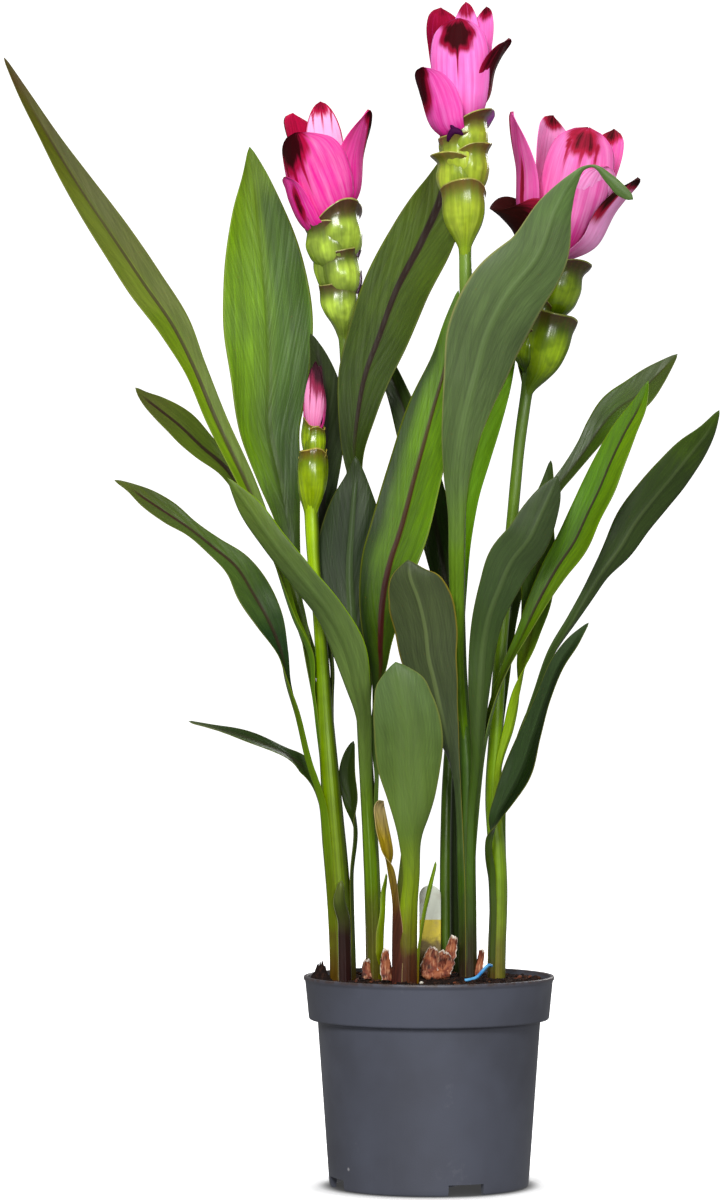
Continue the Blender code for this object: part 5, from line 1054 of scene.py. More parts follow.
def greenMaterial(name, look, stem, seed):
    # A bract's colour runs from foot to lip: bright on its belly as a painted highlight, deep as painted
    # shade where it is tucked in (mark), brown under the lip (brown), violet at its tip (pale), with a thin
    # pale rim and dark ribs. Where `under` is 2 it is the stalk, coloured from the soil up, and where it is 3
    # a dark spike.
    material, tree, shader = newMaterial(name, 0.27, Subsurface_Weight=0.12, Specular_IOR_Level=0.4,
                                         Subsurface_Radius=(0.9, 1.3, 0.4), Subsurface_Scale=0.0015,
                                         Coat_Weight=0.15, Coat_Roughness=0.12)
    along, across, under, number = fieldsOf(tree, "along", "across", "under", "number")
    markAndShade, brown, pale = fieldsOf(tree, "markAndShade", "brown", "pale")
    ribs = drawnOut(tree, across, 9.0, along, 1.2, calc(tree, "ADD", number, seed))
    broad = cloud(tree, objectPlace(tree), 90.0, 3.0)
    blotch = cloud(tree, objectPlace(tree), 120.0, 2.0)
    shifted = shaken(tree, along, ribs, 0.22)
    body = colourBand(tree, shifted, [(0.0, look["foot"]), (0.3, look["body"]), (0.8, look["body"]),
                                      (1.0, look["lip"])])
    # A painted highlight on the belly, where the pouch bulges most
    belly = times(tree, between(tree, along, 0.15, 0.5), between(tree, along, 0.86, 0.62))
    belly = times(tree, belly, between(tree, calc(tree, "ABSOLUTE", across), 0.85, 0.3))
    belly = times(tree, belly, between(tree, blotch, 0.3, 0.6, 0.35, 1.0))
    body = mixed(tree, belly, body, look["bright"])
    # Painted shade where the pouch is tucked in
    body = mixed(tree, between(tree, markAndShade, 0.3, 0.75, 0.0, 0.8), body, look["deep"])
    brownAt = calc(tree, "ADD", shaken(tree, shifted, broad, 0.5), times(tree, brown, 0.24))
    body = mixed(tree, times(tree, between(tree, brownAt, 0.78, 1.08), brown), body, (74, 34, 30))
    body = mixed(tree, between(tree, under, 0.1, 0.5, 0.55, 0.0), body, (92, 84, 44))
    body = mixed(tree, pale, body, (186, 60, 206))
    rimPlace = calc(tree, "MAXIMUM", calc(tree, "ABSOLUTE", across), between(tree, along, 0.9, 1.0, 0.8, 1.0))
    rim = between(tree, calc(tree, "ADD", rimPlace, times(tree, broad, 0.03)), 0.985, 1.012, 0.0, 0.65)
    body = mixed(tree, rim, body, look["rim"])
    stalk = colourBand(tree, shaken(tree, along, broad, 0.08), stem["colours"])
    # Painted shade: the stalk's right side turns to the darker colour
    colour, amount = stem["right"]
    stalk = mixed(tree, times(tree, between(tree, across, 0.1, 0.95), amount), stalk, colour)
    stalk = shaded(tree, stalk, look["stalk"])
    base = mixed(tree, between(tree, under, 1.4, 1.6), body, stalk)
    shade = times(tree, between(tree, ribs, 0.35, 0.65, 0.78, 1.10),
                 between(tree, broad, 0.3, 0.7, 0.88, 1.08))
    base = shaded(tree, base, shade)
    rich = enriched(tree, base, look["rich"], look["value"])
    base = mixed(tree, between(tree, under, 2.4, 2.6), rich, (58, 24, 50))
    tree.links.new(base, shader.inputs["Base Color"])
    bumped(tree, shader, ribs, 0.35, 0.35)
    return material


def pinkMaterial(name, head, seed):
    # Deep to pale pink by the `pale` field, deeper at the foot, with fine lines up each petal. The
    # `markAndShade` field (dark patches, and edges that are partly painted shade) and the same lines turn it
    # crimson and then maroon. Where `under` is 3 it is a dark floret.
    material, tree, shader = newMaterial(name, 0.62, Subsurface_Weight=0.10, Specular_IOR_Level=0.06,
                                         Subsurface_Radius=(1.4, 0.7, 1.0), Subsurface_Scale=0.0006)
    along, across, markAndShade, pale, number = fieldsOf(tree, "along", "across", "markAndShade", "pale", "number")
    lines = drawnOut(tree, across, 10.0, along, 1.4, calc(tree, "ADD", number, seed * 2.7), 4.0, 0.65)
    broad = cloud(tree, objectPlace(tree), 60.0, 3.0)
    paleness = shaken(tree, pale, lines, 0.9)
    paleness = calc(tree, "ADD", paleness, between(tree, along, 0.4, 0.1, 0.0, -0.3))
    base = mixed(tree, between(tree, paleness, 0.0, 1.0), head["deep"], head["light"])
    marked = shaken(tree, markAndShade, lines, 0.55)
    base = mixed(tree, between(tree, marked, 0.18, 0.5), base, head["mid"])
    base = mixed(tree, between(tree, marked, 0.5, 0.78), base, head["dark"])
    base = mixed(tree, between(tree, field(tree, "under"), 2.4, 2.6), base, (64, 14, 62))
    base = shaded(tree, base, between(tree, broad, 0.3, 0.7, 0.92, 1.06))
    tree.links.new(base, shader.inputs["Base Color"])
    bumped(tree, shader, lines, 0.25, 0.3)
    return material


def headPlace(shoot):
    # The matrix, in metres, that stands a head on its shoot's top and leans it
    x, y, z, _ = shoots[shoot][-1]
    return (Matrix.Translation(Vector((x, y, z)) * mm)
            @ Matrix.Rotation(math.radians(heads[shoot]["lean"]), 4, "Y"))


def makeHeads():
    # Each head is two pieces: the stalk with its green bracts, and the pink petals round their core
    for seed, (shoot, head) in enumerate(heads.items()):
        place = headPlace(shoot)
        top = np.array(place.to_3x3() @ Vector((0.0, 0.0, 1.0)))
        base = np.array(shoots[shoot][-1][:3], float)
        stalk = list(throughRows(shoots[shoot], np.linspace(0, 1, 24)))
        stalk += [np.append(base + top * height, radius) for height, radius in head["core"][1:]]
        skins = [coreSkin(stalk, stemShape["around"], stemShape["step"], seed=seed,
                          fibres=stemShape["fibres"], fibreCount=stemShape["fibreCount"])]
        skins += [placed(pouchSkin(bract, head["core"], seed * 20 + i), place)
                  for i, bract in enumerate(head["green"])]
        skins += [placed(coreSkin(points, 12, 0.4, kind=3.0), place) for points in head.get("spikes", [])]
        makePiece("flower_stalk_" + shoot + "_green", joinSkins(skins),
                  greenMaterial("bracts_" + shoot, headLooks[shoot], stems[shoot], seed * 7),
                  "stalk", "flower_stalk_" + shoot)
        foot = base + top * head["pinkFoot"]
        core = [np.append(foot + top * height, radius) for height, radius in head["pinkCore"]]
        lifted = place @ Matrix.Translation((0.0, 0.0, head["pinkFoot"] * mm))
        skins = [coreSkin(core, 24, 1.6, 0.2, seed)]
        skins += [placed(petalSkin(petal, marks, seed * 30 + 11 + i), lifted)
                  for i, (petal, marks) in enumerate(head["pink"])]
        skins += [placed(coreSkin(points, 20, 0.4, kind=3.0), lifted) for points in head.get("florets", [])]
        makePiece("pink_head_" + shoot + "_petals", joinSkins(skins),
                  pinkMaterial("petals_" + shoot, head, seed), "pink", "pink_head_" + shoot)
    print("heads:", len(heads))


makeHeads()


# Camera: the photograph's angle, a long lens at the height of the middle of the plant
camera = dict(place=(-0.0329, -2.42, 0.2833), lens=150.0)


def makeCamera():
    # The camera looks level along +Y
    made = addObject("camera", bpy.data.cameras.new("camera"))
    made.location = camera["place"]
    made.rotation_euler = (math.radians(90), 0.0, 0.0)
    made.data.lens = camera["lens"]
    made.data.clip_end = 20.0
    bpy.context.scene.camera = made


# Light and floor: a white bowl of paper under the pot and round it, soft boxes left and right of the camera,
# one above and one behind. The paper glows, so that it stays white, but not close to the pot, and its colour
# is darkened under the pot as painted shadow. Metres.
studio = dict(
    world=0.30, flat=5.6, bend=0.6, high=5.0, around=96,   # the bowl's flat radius, its bend and height
    glow=(0.05, 0.90), glowAt=(0.044, 0.085),              # strength under the pot and away from it
    # The paper's colour: dark under the pot as painted shadow, white away from it
    paper=((30, 30, 32), (238, 238, 238)), shadowAt=(0.046, 0.056),   # and its colour, dark under the pot
    boxes=[("key", (-0.45, -2.1, 1.25), 0.55, 40.0), ("fill", (0.6, -2.1, 0.7), 0.5, 17.0),
           ("top", (0.0, 0.3, 1.7), 0.9, 13.0), ("back", (0.9, 2.0, 1.1), 1.0, 16.0)],
    aim=(-0.03, 0.0, 0.33))


def makeStudio():
    # The bowl is a line turned round: flat, then a quarter circle of radius `bend`, then a straight wall
    flat, bend, turn = studio["flat"], studio["bend"], np.linspace(0, np.pi / 2, 24)
    angle = np.arange(studio["around"]) / studio["around"] * 2 * np.pi
    radius = np.concatenate([[0.2, 1.0], flat + bend * np.sin(turn), [flat + bend]])[:, None]
    height = np.concatenate([[0.0, 0.0], bend * (1 - np.cos(turn)), [studio["high"]]])[:, None]
    rings = np.broadcast_arrays(radius * np.cos(angle), radius * np.sin(angle), height)
    points = np.stack(rings, axis=-1).reshape(-1, 3)
    mesh = bpy.data.meshes.new("paper")
    mesh.from_pydata(points.tolist(), [], ringFaces(len(radius), len(angle), closeEnd=False).tolist())
    mesh.shade_smooth()
    paper = addObject("paper", mesh)
    white, tree, shader = newMaterial("paper", 0.9, Emission_Color=(255, 255, 255))
    distance = addNode(tree, "VectorMath", {0: objectPlace(tree)}, operation="LENGTH").outputs["Value"]
    tree.links.new(between(tree, distance, *studio["glowAt"], *studio["glow"]),
                   shader.inputs["Emission Strength"])
    # Painted shadow: the paper's colour is dark under the pot
    tree.links.new(mixed(tree, between(tree, distance, *studio["shadowAt"]), *studio["paper"]),
                   shader.inputs["Base Color"])
    mesh.materials.append(white)
    paper.visible_diffuse = False
    paper.visible_glossy = False
    for name, place, size, power in studio["boxes"]:
        light = bpy.data.lights.new(name, "AREA")
        light.size, light.energy = size, power
        box = addObject(name, light)
        box.location = place
        box.rotation_euler = (Vector(studio["aim"]) - Vector(place)).to_track_quat("-Z", "Y").to_euler()
    world = bpy.data.worlds.new("room")
    world.use_nodes = True
    background = world.node_tree.nodes["Background"]
    background.inputs["Color"].default_value = (1.0, 1.0, 1.0, 1.0)
    background.inputs["Strength"].default_value = studio["world"]
    bpy.context.scene.world = world
    bpy.context.scene.view_settings.view_transform = "Standard"


makeCamera()
makeStudio()


# Pot and soil. The pot is a profile (radius, height) turned round its axis: out along the underside, up the
# outside, over the rim and down the inside. Each corner is rounded with its own radius.
pot = dict(
    rim=60.0, body=53.9, foot=48.3, disc=14.2,    # radii of the rim, the wall under it, the foot, the middle
    high=101.6, band=21.0, floor=8.2, wall=1.2,   # heights of pot, band and floor, and the wall's thickness
    notchTurns=(-69, 21, 111, 201), notch=(8.0, 18.0, 11.0),   # drain notches: depth, width, twice the height
    drainAt=36.0, drain=4.0,                      # radius where the drain holes stand, and theirs
    dirtFrom=99.5, dirtTo=101.2, around=200)
soil = dict(
    floor=8.5, around=280, rings=96,
    crumbs=850, chips=46, perlite=5, ball=(5, 8),      # loose bits of each kind; a bit's rings and points
    crumbSize=(0.45, 0.28), chipSize=(1.2, 2.6), perliteSize=(0.7, 1.2), whiteAt=(-22.7, -44.0),
    heap=3.2, heapWide=34.0, rear=1.6,                 # a low heap in the middle, and higher at the back
    bank=11.5, bankAt=(-52.5, -9.0), bankWide=(4.2, 6.0))   # a lump against the left of the rim


def roundedLine(corners, steps=5):
    # Each corner (x, y, radius) becomes a short curve that starts and ends `radius` away along its sides
    line = []
    for number, (x, y, radius) in enumerate(corners):
        here = np.array([x, y], float)
        if number in (0, len(corners) - 1) or radius == 0:
            line.append(here)
            continue
        before = np.array(corners[number - 1][:2]) - here
        after = np.array(corners[number + 1][:2]) - here
        start = here + before * min(radius / np.linalg.norm(before), 0.48)
        end = here + after * min(radius / np.linalg.norm(after), 0.48)
        t = np.linspace(0, 1, steps)[:, None]
        line.extend((1 - t) ** 2 * start + 2 * t * (1 - t) * here + t**2 * end)
    return np.array(line)


def turnedSkin(line, around, lift=None):
    # Rings of `around` points, one for each (radius, height) of the line, raised by lift(x, y)
    angle = (np.arange(around) + 0.5) / around * 2 * np.pi
    radius, height = np.maximum(line[:, :1], 0.02), line[:, 1:2]
    x, y = radius * np.cos(angle), radius * np.sin(angle)
    rings = np.broadcast_arrays(x, y, height + (0.0 if lift is None else lift(x, y)))
    return np.stack(rings, axis=-1).reshape(-1, 3), ringFaces(len(line), around), {}


def cutAway(piece, cutters):
    # Takes the cutters out of the piece with one Boolean each, which is applied
    for cutter in cutters:
        cut = piece.modifiers.new("cut", "BOOLEAN")
        cut.object, cut.operation, cut.solver = cutter, "DIFFERENCE", "EXACT"
    graph = bpy.context.evaluated_depsgraph_get()
    mesh = bpy.data.meshes.new_from_object(piece.evaluated_get(graph), depsgraph=graph)
    piece.modifiers.clear()
    piece.data = mesh
    mesh.set_sharp_from_angle(angle=math.radians(38))
    for cutter in cutters:
        bpy.data.objects.remove(cutter)


def potCutters():
    # A block through the foot and a round drain for each notch
    cutters = []
    for turn in pot["notchTurns"]:
        angle = math.radians(turn - 90)
        outward = Vector((math.cos(angle), math.sin(angle), 0.0)) * mm
        bpy.ops.mesh.primitive_cube_add(size=1.0)
        block = bpy.context.object
        block.scale = Vector(pot["notch"]) * mm
        block.location = outward * (pot["foot"] - 0.5)
        block.rotation_euler.z = angle
        bpy.ops.mesh.primitive_cylinder_add(vertices=32, radius=pot["drain"] * mm, depth=6 * mm)
        hole = bpy.context.object
        hole.location = outward * pot["drainAt"] + Vector((0.0, 0.0, pot["floor"])) * mm
        cutters += [block, hole]
    bpy.context.view_layer.update()
    return cutters


def potMaterial():
    # Grey moulded plastic: a fine satin grain, faint paler streaks up the wall, painted highlight streaks
    # that also run in the relief, dust as pale specks and smears, and soil rubbed along the rim
    material, tree, shader = newMaterial("grey_plastic", 0.46, Specular_IOR_Level=0.4)
    place = objectPlace(tree)
    height = addNode(tree, "SeparateXYZ", {0: place}).outputs["Z"]
    grain = cloud(tree, place, 1500.0, 2.0)
    tall = addNode(tree, "Mapping", {"Vector": place, "Scale": (240.0, 240.0, 14.0)}).outputs[0]
    dragAndSheen = cloud(tree, tall, 1.0, 2.0)
    broad = cloud(tree, place, 22.0, 3.0)
    base = colourBand(tree, between(tree, broad, 0.3, 0.7), [(0, (68, 70, 80)), (1, (77, 80, 92))])
    # Painted highlight: paler streaks up the wall
    base = mixed(tree, between(tree, dragAndSheen, 0.55, 0.8, 0.0, 0.12), base, (84, 86, 96))
    smear = times(tree, between(tree, cloud(tree, place, 60.0, 6.0, 0.75), 0.60, 0.72),
                 between(tree, broad, 0.46, 0.6))
    base = mixed(tree, times(tree, smear, 0.22), base, (116, 116, 124))
    dots = addNode(tree, "TexVoronoi", {"Vector": place, "Scale": 130.0, "Randomness": 1.0})
    chosen = addNode(tree, "SeparateColor", {0: dots.outputs["Color"]}).outputs[0]
    speck = times(tree, between(tree, dots.outputs["Distance"], 0.16, 0.06),
                 between(tree, chosen, 0.955, 0.96))
    base = mixed(tree, times(tree, speck, 0.6), base, (190, 188, 190))
    dirt = times(tree, between(tree, height, pot["dirtFrom"] * mm, pot["dirtTo"] * mm),
                 between(tree, cloud(tree, place, 260.0, 4.0), 0.36, 0.6, 0.25, 0.9))
    base = mixed(tree, dirt, base, (64, 50, 46))
    tree.links.new(base, shader.inputs["Base Color"])
    tree.links.new(between(tree, broad, 0.3, 0.7, 0.52, 0.40), shader.inputs["Roughness"])
    bumped(tree, shader, calc(tree, "ADD", grain, times(tree, dragAndSheen, 0.5)), 0.28, 0.12)
    return material


def makePot():
    # The profile's corners from the middle of the underside round to the middle of the floor
    rim, foot, high = pot["rim"], pot["foot"], pot["high"]
    bandFoot, inner = high - pot["band"], pot["rim"] - pot["wall"]
    corners = [
        (0.0, 0.0, 0), (pot["disc"], 0.0, 0.5), (pot["disc"] + 3.0, pot["floor"] - 1.2, 0.8),
        (foot - 3.4, pot["floor"] - 1.2, 0.8), (foot - 2.8, 0.0, 0.6), (foot - 0.4, 0.0, 1.5),
        (foot + 0.05, 2.4, 1.2), (pot["body"], bandFoot - 0.8, 0.6), (rim - 3.2, bandFoot - 0.1, 0.7),
        (rim - 1.9, bandFoot + 0.3, 1.0), (rim - 0.1, high - 2.6, 0.5), (rim + 0.8, high - 1.3, 0.7),
        (rim + 0.5, high, 0.5), (inner - 0.1, high, 0.5), (inner - 2.4, bandFoot + 1.8, 1.4),
        (pot["body"] - pot["wall"], bandFoot + 0.6, 1.0), (foot - pot["wall"] + 0.2, pot["floor"] + 1.8, 1.0),
        (foot - 3.0, pot["floor"], 0.8), (pot["disc"] + 2.3, pot["floor"], 0.8),
        (pot["disc"] - 1.2, pot["wall"], 0.5), (0.0, pot["wall"], 0)]
    piece = makePiece("nursery_pot_moulded", turnedSkin(roundedLine(corners), pot["around"]), potMaterial(),
                      "pot_plastic", "nursery_pot")
    cutAway(piece, potCutters())
    print("pot made")


def lumps(x, y, size, layer):
    # Smooth noise, about -1 to 1, over points (x, y), with lumps about `size` millimetres across
    drawn = np.frompyfunc(lambda a, b: noise.noise(Vector((a, b, layer))), 2, 1)
    return drawn(x / size, y / size).astype(float)


def soilHeight(x, y):
    # A low heap, a little higher at the back, with crumbs that fade at the pot's wall
    radius = np.hypot(x, y)
    heap = soil["heap"] * np.exp(-(radius / soil["heapWide"]) ** 2)
    heap = heap + soil["rear"] * np.maximum(y, 0.0) / pot["rim"]
    crumbs = 1.3 * lumps(x, y, 7.0, 3.7 / 7.0) + 0.8 * lumps(x, y, 3.2, 9.1 / 3.2)
    return soilLevel + heap + crumbs * np.minimum(1.0, (57.5 - radius) / 6.0 + 0.35)


def fineSoil(x, y):
    # The soil's height with lumps a millimetre or two across, and a bank against the left of the rim
    fine = 0.9 * np.abs(lumps(x, y, 1.7, 5.0)) + 0.5 * lumps(x, y, 0.8, 5.0)
    (left, front), (wide, deep) = soil["bankAt"], soil["bankWide"]
    bank = soil["bank"] * np.exp(-((x - left) / wide) ** 2 - ((y - front) / deep) ** 2)
    return soilHeight(x, y) + fine + bank * (0.7 + 0.6 * np.abs(lumps(x, y, 1.0, 5.0))) - 0.2


def soilMaterial():
    # Dark fine peat: grain of every size, and clods as cells
    material, tree, shader = newMaterial("dark_soil", 0.95, Specular_IOR_Level=0.15)
    place = objectPlace(tree)
    grain = cloud(tree, place, 420.0, 6.0, 0.7)
    clods = addNode(tree, "TexVoronoi", {"Vector": place, "Scale": 520.0}).outputs["Distance"]
    base = colourBand(tree, grain, [(0.3, (17, 11, 10)), (0.5, (33, 21, 18)), (0.62, (54, 34, 25)),
                                    (0.75, (80, 54, 38))])
    tree.links.new(base, shader.inputs["Base Color"])
    bumped(tree, shader, calc(tree, "ADD", grain, clods), 0.9, 0.8)
    return material


def makeSoil():
    # A line from the middle of the floor out and up the wall, then back over the top in rings of even area
    edge = pot["rim"] - pot["wall"] - 0.9
    inside = pot["body"] - pot["wall"] - 0.6
    below = pot["high"] - pot["band"]
    side = [(0.0, soil["floor"]), (pot["disc"] + 3.8, soil["floor"]), (pot["foot"] - 3.0, soil["floor"]),
            (pot["foot"] - 1.3, pot["floor"] + 1.8), (inside, below + 0.6), (edge - 1.9, below + 2.6)]
    radii = edge * np.sqrt(np.linspace(1.0, 0.0, soil["rings"]))
    line = np.vstack([side, np.column_stack([radii, np.zeros(len(radii))])])
    top = np.arange(len(line)) >= len(side)

    def lift(x, y):
        return np.where(top[:, None], fineSoil(x, y), 0.0)

    makePiece("potting_soil_fine", turnedSkin(line, soil["around"], lift), soilMaterial(), "soil",
              "potting_soil")
    makePiece("soil_crumbs", crumbSkin(edge), crumbMaterial(), "soil")
    print("soil made")


def crumbSkin(edge):
    # Crumbs, bark chips and perlite: one small lumpy ball of a few rings, copied with its own size, squash
    # and turn to places drawn over the soil
    draw = np.random.default_rng(5)
    counts = (soil["crumbs"], soil["chips"], soil["perlite"])
    total = sum(counts)
    kind = np.repeat([0.0, 1.0, 2.0], counts)
    rings, around = soil["ball"]
    tilt = np.linspace(0.02, np.pi - 0.02, rings)[:, None]
    angle = (np.arange(around) + 0.5) / around * 2 * np.pi
    ball = np.stack([np.sin(tilt) * np.cos(angle), np.sin(tilt) * np.sin(angle),
                     -np.cos(tilt) * np.ones(around)], axis=-1).reshape(-1, 3)
    lumpy = ball * (1 + draw.uniform(-0.22, 0.22, (total, len(ball), 1)))
    small = np.abs(draw.normal(*soil["crumbSize"], total)) + 0.25
    sizes = np.choose(kind.astype(int), [small, draw.uniform(*soil["chipSize"], total),
                                         draw.uniform(*soil["perliteSize"], total)])
    squash = np.stack([np.ones(total), np.where(kind == 1, 0.45, 0.85), np.where(kind == 1, 0.22, 0.7)],
                      axis=-1)
    turn, lean = draw.uniform(0, 2 * np.pi, total), draw.uniform(-0.5, 0.5, total)
    shaped = lumpy * (squash * sizes[:, None])[:, None, :]
    x = shaped[..., 0] * np.cos(lean)[:, None] + shaped[..., 2] * np.sin(lean)[:, None]
    z = -shaped[..., 0] * np.sin(lean)[:, None] + shaped[..., 2] * np.cos(lean)[:, None]
    y = shaped[..., 1]
    spin = np.cos(turn)[:, None], np.sin(turn)[:, None]
    x, y = x * spin[0] - y * spin[1], x * spin[1] + y * spin[0]
    away = (edge - 1.6) * np.sqrt(draw.uniform(0.02, 1.0, total))
    bearing = draw.uniform(0, 2 * np.pi, total)
    places = np.stack([away * np.cos(bearing), away * np.sin(bearing)], axis=-1)
    places[-1] = soil["whiteAt"]     # one white grain lies near the front
    height = soilHeight(places[:, 0], places[:, 1]) + sizes * np.where(kind == 1, 0.25, 0.45)
    points = np.stack([x + places[:, :1], y + places[:, 1:], z + height[:, None]], axis=-1).reshape(-1, 3)
    every = (ringFaces(rings, around) + np.arange(total)[:, None, None] * len(ball)).reshape(-1, 4)
    return points, every, spread(dict(kind=kind[:, None], shade=draw.uniform(0, 1, total)[:, None]),
                                 (total, len(ball)))


def crumbMaterial():
    # Dark crumbs, red-brown bark and white grains by the `kind` field
    material, tree, shader = newMaterial("soil_crumbs", 0.92, Specular_IOR_Level=0.2)
    kind, shade = fieldsOf(tree, "kind", "shade")
    grain = cloud(tree, objectPlace(tree), 900.0, 4.0)
    value = calc(tree, "ADD", times(tree, shade, 0.7), times(tree, grain, 0.4))
    base = colourBand(tree, value, [(0.1, (15, 10, 9)), (0.6, (42, 26, 20)), (0.85, (70, 42, 28)),
                                    (1, (100, 68, 44))])
    bark = colourBand(tree, value, [(0.2, (52, 26, 19)), (0.9, (112, 60, 37))])
    base = mixed(tree, between(tree, kind, 0.4, 0.6), base, bark)
    base = mixed(tree, between(tree, kind, 1.4, 1.6), base, (206, 200, 186))
    tree.links.new(base, shader.inputs["Base Color"])
    bumped(tree, shader, grain, 0.6, 0.4)
    return material


makePot()
makeSoil()


# Small things on the soil: shards of the rhizomes' papery skin, a blank label and a short blue tie
shards = dict(
    # each strip: foot x, foot y, lean in x, height, half width, turn; the lying one: x, y, radius
    strips=[(-1.0, -15.0, 3.5, 13.0, 5.0, 20.0), (3.5, -14.5, 5.0, 11.0, 5.5, -15.0),
            (7.0, -13.5, 5.5, 18.0, 4.4, 40.0), (-20.0, -25.5, -1.5, 15.0, 3.6, -35.0),
            (-29.0, -17.5, -2.0, 9.0, 3.0, -20.0), (23.5, -4.5, 2.5, 12.0, 2.2, 30.0)],
    fold=50.0, rows=40, columns=26, thick=0.4,
    sunk=2.2, lift=2.6,      # their feet and the lying strip above the soil
    foot=[(-3.5, -15.0, 1.9), (0.5, -14.8, 2.2), (5.0, -14.2, 2.2), (9.5, -13.4, 1.8)])
label = dict(
    at=(0.5, -1.0), wide=10.5, thick=0.9, tall=71.0, foot=74.3, corner=5.0,
    yellow=(128.4, 129.0), dirt=(122.0, 116.0),   # heights where the yellow ends and where the dirt fades
    rows=40, cornerRows=12, around=40)
tie = dict(route=[(17.0, -20.0, 1.2), (19.5, -18.5, 1.4), (22.5, -16.0, 2.6), (25.5, -13.0, 5.0),
                  (28.5, -10.0, 7.5), (30.0, -7.5, 7.8)], radius=0.8)


def shardSkin(shard, seed):
    # A strip that rises from the soil, curled round its own height, with a torn upper edge and sides
    x, y, lean, height, half, turn = shard
    t = np.linspace(0.0, 1.0, shards["rows"])
    foot = soilHeight(np.array([x]), np.array([y]))[0] + shards["sunk"]
    spine = np.stack([x + lean * t**1.5, y + 1.5 * np.sin(3.0 * t), foot + height * t], axis=1)
    halves = half * np.interp(t, [0.0, 0.3, 0.7, 1.0], [0.8, 1.0, 0.75, 0.25])
    facing = math.radians(turn)
    facing = np.tile(unitRows(np.array([math.sin(facing), math.cos(facing), 0.1])), (len(t), 1))
    column, v, fold = t[:, None], np.linspace(-1.0, 1.0, shards["columns"]), math.radians(shards["fold"])
    torn = 1.0 + 0.14 * ripples(t * 16.0, seed, 5, 0.6, 2.4)[:, None] * np.sign(v) * (np.abs(v) > 0.2)
    arc, normal, _ = arcStrip(spine, facing, halves[:, None] / fold * torn, fold * v * np.ones_like(column))
    crumple = 0.35 * ripples(v * 6.0 + column * 5.0, seed + 3, 4, 0.6, 2.0)
    curl = 1.6 * smoothStep(0.6, 1.0, column) * (v**2 - 0.4)
    top = arc + normal * (crumple - curl)[..., None]
    top[..., 2] += 1.4 * ripples(v * 7.0, seed + 8, 5, 0.5, 2.2) * smoothStep(0.55, 1.0, column)
    edge = np.maximum(np.abs(v), smoothStep(0.7, 1.0, column))
    return twoSided(top, top - normal * shards["thick"], dict(edge=edge))


def paperyMaterial():
    # Red-brown skin in patches, with pale fibres along it and pale torn edges (the `edge` field)
    material, tree, shader = newMaterial("papery_skin", 0.7, Specular_IOR_Level=0.3)
    place = objectPlace(tree)
    drawn = addNode(tree, "Mapping", {"Vector": place, "Scale": (900, 900, 120)}).outputs[0]
    fibres = cloud(tree, drawn, 1.0, 4.0)
    patches = cloud(tree, place, 230.0, 3.0)
    base = colourBand(tree, patches, [(0.36, (66, 30, 22)), (0.5, (124, 60, 40)), (0.62, (164, 96, 62))])
    base = mixed(tree, between(tree, fibres, 0.5, 0.7, 0.0, 0.6), base, (214, 158, 120))
    torn = between(tree, calc(tree, "ADD", field(tree, "edge"), times(tree, patches, 0.6)), 1.16, 1.34)
    base = mixed(tree, torn, base, (236, 226, 212))
    tree.links.new(base, shader.inputs["Base Color"])
    bumped(tree, shader, fibres, 0.6, 0.4)
    return material


def makeShards():
    # The shards rise side by side from one strip of skin that lies on the soil
    skins = [shardSkin(shard, 40 + number) for number, shard in enumerate(shards["strips"])]
    lying = np.array([(x, y, 0.0, radius) for x, y, radius in shards["foot"]])
    lying[:, 2] = soilHeight(lying[:, 0], lying[:, 1]) + shards["lift"]
    points, faces, _ = tubeSkin(lying, 20, 0.5)
    points = points + 0.35 * ripples(points.sum(1) * 1.7, 3, 5, 0.6, 2.4)[:, None]
    skins.append((points, faces, dict(edge=np.full(len(points), 0.4))))
    makePiece("rhizome_skin_papery", joinSkins(skins), paperyMaterial(), "rhizome_skin", "rhizome_skin")


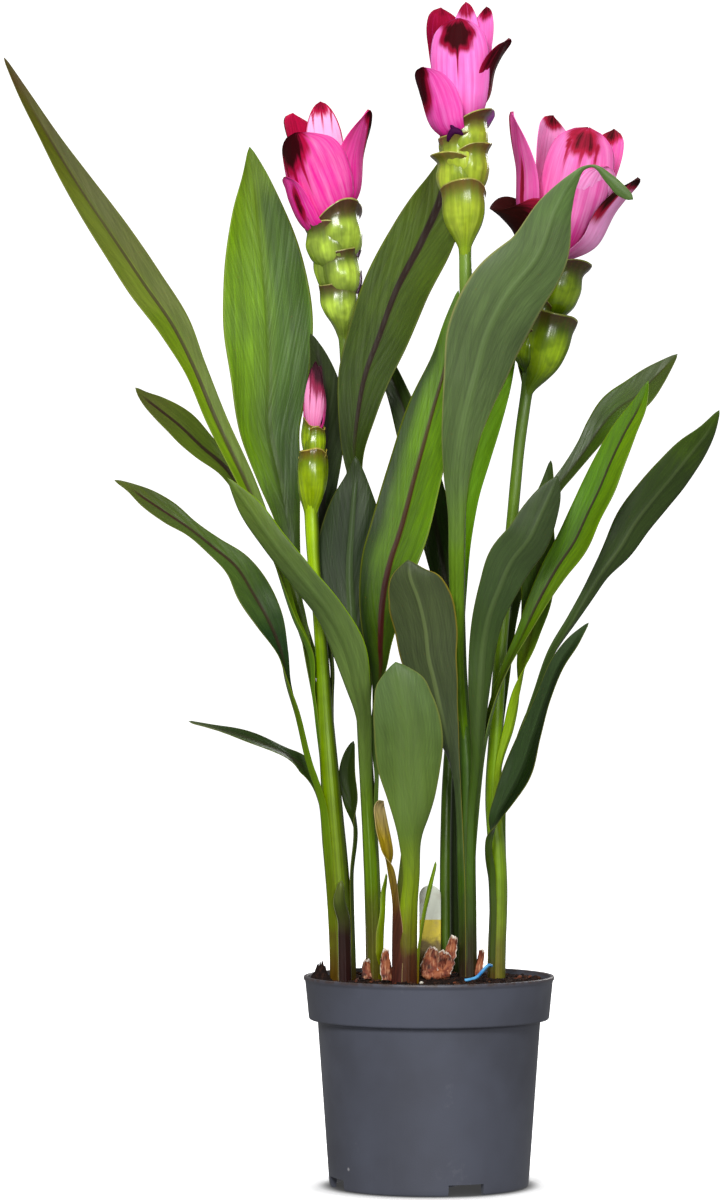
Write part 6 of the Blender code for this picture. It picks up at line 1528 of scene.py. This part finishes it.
def labelMaterial():
    # White plastic with a yellow foot, stained, with soil that clings to its lower part
    material, tree, shader = newMaterial("label_plastic", 0.38, Specular_IOR_Level=0.5)
    place = objectPlace(tree)
    height = addNode(tree, "SeparateXYZ", {0: place}).outputs["Z"]
    stain = cloud(tree, place, 160.0, 4.0)
    white = between(tree, height, *(edge * mm for edge in label["yellow"]))
    base = mixed(tree, white, (206, 186, 48), (206, 210, 194))
    base = mixed(tree, between(tree, stain, 0.5, 0.72, 0.0, 0.35), base, (150, 128, 100))
    ragged = shaken(tree, height, stain, 0.02)
    dirt = between(tree, ragged, *(edge * mm for edge in label["dirt"]), 0.0, 0.85)
    base = mixed(tree, dirt, base, (66, 44, 34))
    tree.links.new(base, shader.inputs["Base Color"])
    return material


def makeLabel():
    # A blank plate with round upper corners: rows of a thin rounded bar from the foot up, the last ones
    # narrowed along a quarter circle
    wide, thick, corner = label["wide"] / 2, label["thick"] / 2, label["corner"]
    turn = np.linspace(0, np.pi / 2, label["cornerRows"])[1:]
    straight = label["tall"] - corner
    heights = np.concatenate([np.linspace(0, straight, label["rows"]), straight + corner * np.sin(turn)])
    halves = np.concatenate([np.full(label["rows"], wide), wide - corner + corner * np.cos(turn)])
    angle = (np.arange(label["around"]) + 0.5) / label["around"] * 2 * np.pi
    x = label["at"][0] + halves[:, None] * np.sign(np.cos(angle)) * np.abs(np.cos(angle)) ** 0.3
    y = label["at"][1] + thick * np.sign(np.sin(angle)) * np.abs(np.sin(angle)) ** 0.6
    z = label["foot"] + heights[:, None]
    points = np.stack(np.broadcast_arrays(x, y, z), axis=-1).reshape(-1, 3)
    makePiece("plant_label_blank", (points, ringFaces(len(heights), label["around"]), {}), labelMaterial(),
              "label", "plant_label")


def makeTie():
    # A soft round strip that lies on the soil and rises against the stems behind it
    route = np.array([(x, y, z, tie["radius"]) for x, y, z in tie["route"]])
    route[:, 2] += soilHeight(route[:, 0], route[:, 1])
    points, faces, _ = tubeSkin(route, 24, 0.4, 0.07, 5)
    material, tree, shader = newMaterial("blue_plastic", 0.35)
    streak = cloud(tree, objectPlace(tree), 300.0, 3.0)
    tree.links.new(colourBand(tree, streak, [(0.35, (36, 126, 196)), (0.65, (98, 176, 226))]),
                   shader.inputs["Base Color"])
    makePiece("blue_tie_soft", (points, faces, {}), material, "tie", "blue_tie")


makeShards()
makeLabel()
makeTie()
print("small things made")
